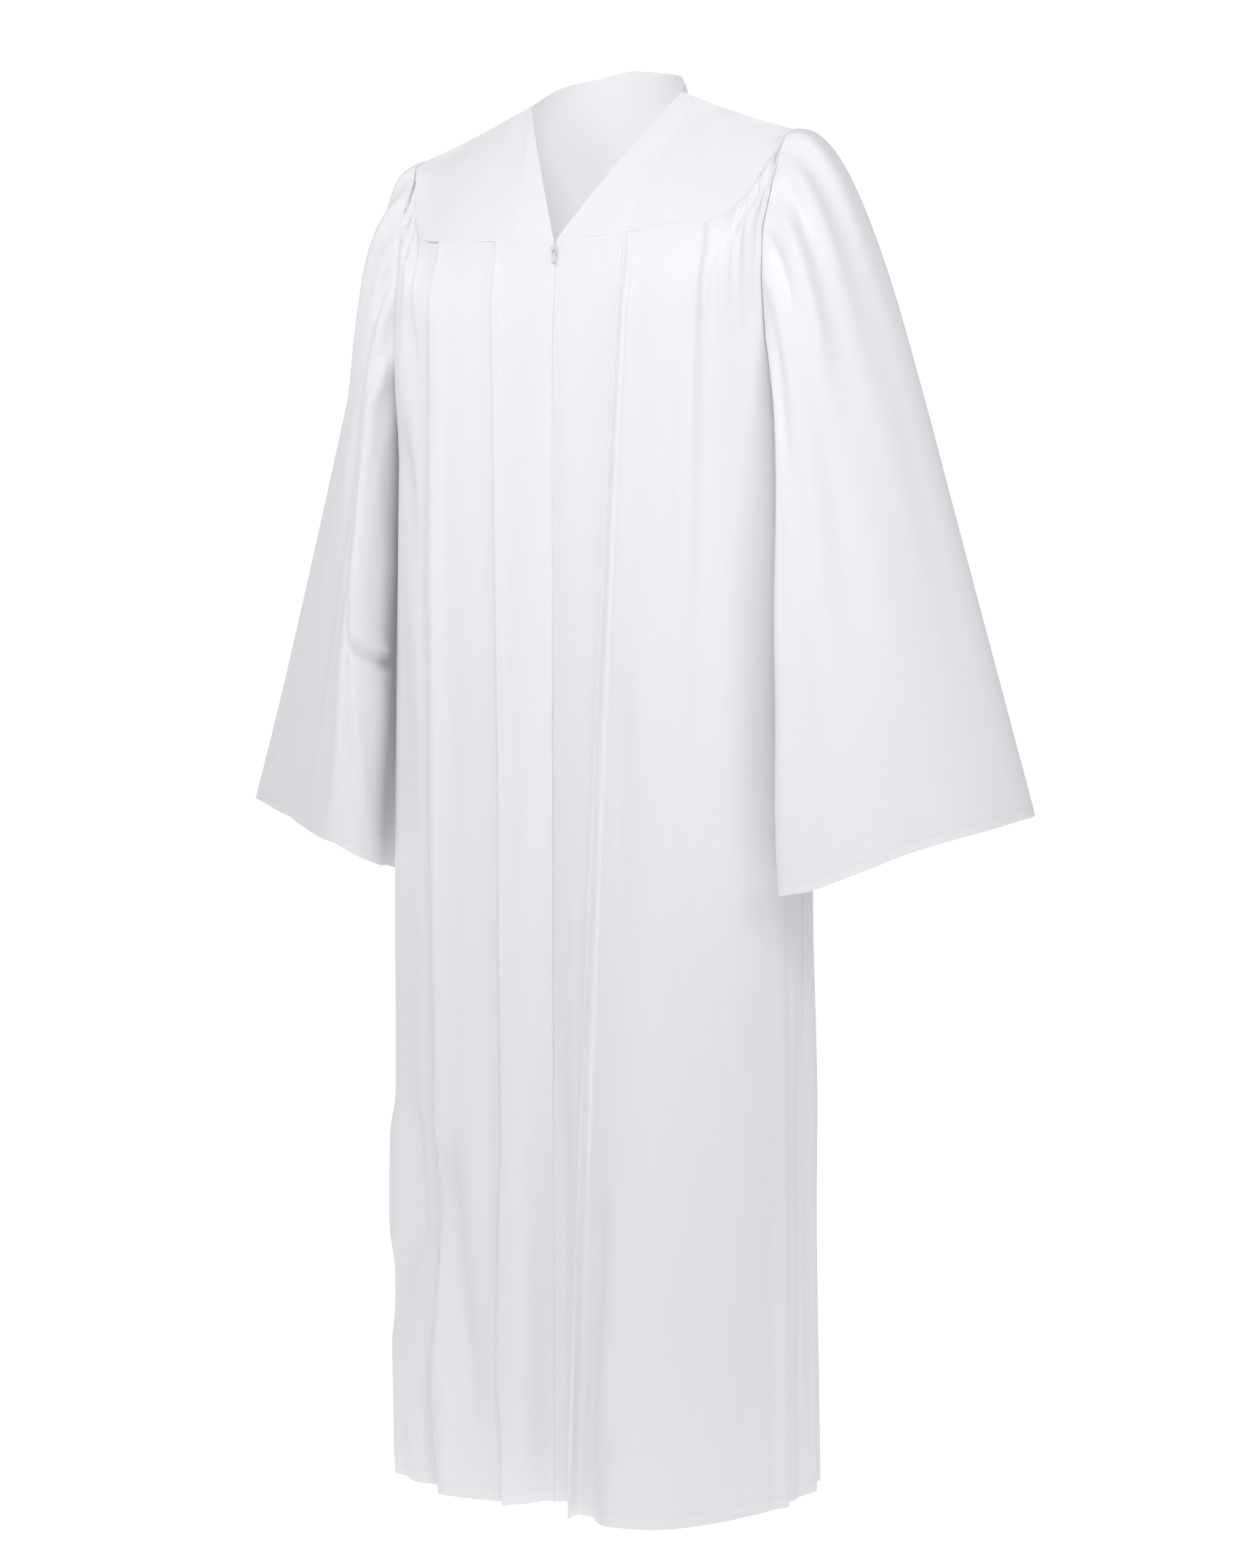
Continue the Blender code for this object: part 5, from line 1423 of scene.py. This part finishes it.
# Lobes of light: 1 from behind the robe or -1 from the camera, amount and narrowness
WORLD_LOBES = ((1.0, 1.10, 6.0), (-1.0, 0.06, 2.0))
WORLD_COLOUR = (0.972, 0.960, 1.0, 1.0)
FLOOR_COLOUR = (0.60, 0.60, 0.61, 1.0)
FLOOR_ROUGHNESS = 0.9
# Emission rises from the third to the fourth value between the first two, in metres to the back
FLOOR_SWEEP = (-1.2, 0.2, 0.06, 0.82)
FLOOR_HALF = 60.0
# Square lamps: place, aim, edge and power. The last stands in for the light that the cloth
# lets through onto the inside of the back.
LAMPS = {
    "key": ((0.56, -1.60, 0.46), (0.0, 0.0, -0.34), 0.8, 12.7),
    "fill": ((1.50, -0.85, 0.00), (0.10, 0.0, -0.45), 0.8, 4.1),
    "far_fill": ((-0.85, -1.20, 0.70), (-0.15, 0.0, -0.25), 0.8, 6.5),
    "low": ((0.75, -1.15, -0.85), (0.05, 0.0, -0.78), 0.7, 1.1),
    "neck": ((-0.02, -0.045, -0.24), (0.03, 0.07, 0.0), 0.12, 0.15),
}


def add_world():
    """Even light, stronger from behind the robe and a little from behind the camera."""
    world = bpy.data.worlds.new("studio")
    bpy.context.scene.world = world
    nodes = Nodes(world, "Background")
    sky = nodes.dot(nodes.add("ShaderNodeTexCoord").outputs["Generated"], AHEAD)
    strength = WORLD_EVEN
    for sign, amount, power in WORLD_LOBES:
        towards = nodes.math("MAXIMUM", nodes.math("MULTIPLY", sky, sign), 0.0)
        strength = nodes.math("MULTIPLY_ADD", nodes.math("POWER", towards, power), amount, strength)
    nodes.link(strength, nodes.shader.inputs["Strength"])
    nodes.fill(Color=WORLD_COLOUR)


def add_floor():
    """Pale floor that grows brighter towards the back."""
    mesh = bpy.data.meshes.new("floor")
    square = ((-1, -1), (1, -1), (1, 1), (-1, 1))
    corners = [(x * FLOOR_HALF, y * FLOOR_HALF, FLOOR_Z) for x, y in square]
    mesh.from_pydata(corners, [], [[0, 1, 2, 3]])
    pale = bpy.data.materials.new("floor_pale")
    nodes = Nodes(pale)
    nodes.fill(Base_Color=FLOOR_COLOUR, Roughness=FLOOR_ROUGHNESS)
    nodes.fill(Emission_Color=(1.0, 1.0, 1.0, 1.0))
    ramp = nodes.add("ShaderNodeMapRange", interpolation_type="SMOOTHSTEP")
    spot = nodes.add("ShaderNodeNewGeometry").outputs["Position"]
    nodes.link(nodes.dot(spot, AHEAD), ramp.inputs["Value"])
    for name, value in zip(("From Min", "From Max", "To Min", "To Max"), FLOOR_SWEEP):
        ramp.inputs[name].default_value = value
    nodes.link(ramp.outputs["Result"], nodes.shader.inputs["Emission Strength"])
    mesh.materials.append(pale)
    linked("floor", mesh)


def add_lamps():
    for name, (place, aim, size, power) in LAMPS.items():
        data = bpy.data.lights.new(name, "AREA")
        data.shape = "SQUARE"
        data.size = size
        data.energy = power
        lamp = linked(name, data)
        lamp.location = place
        lamp.rotation_euler = (Vector(aim) - Vector(place)).to_track_quat("-Z", "Y").to_euler()


def main():
    bpy.context.scene.view_settings.view_transform = "Standard"
    fronts, edge = build_fronts()
    pieces = {thing.name: thing for thing in fronts + build_backs() + build_sleeves()}
    build_teeth(edge)
    enamel = plain_look("enamel_look", *ENAMEL_LOOK)
    build_slider(enamel)
    build_tab(enamel)
    add_world()
    add_floor()
    add_lamps()


main()
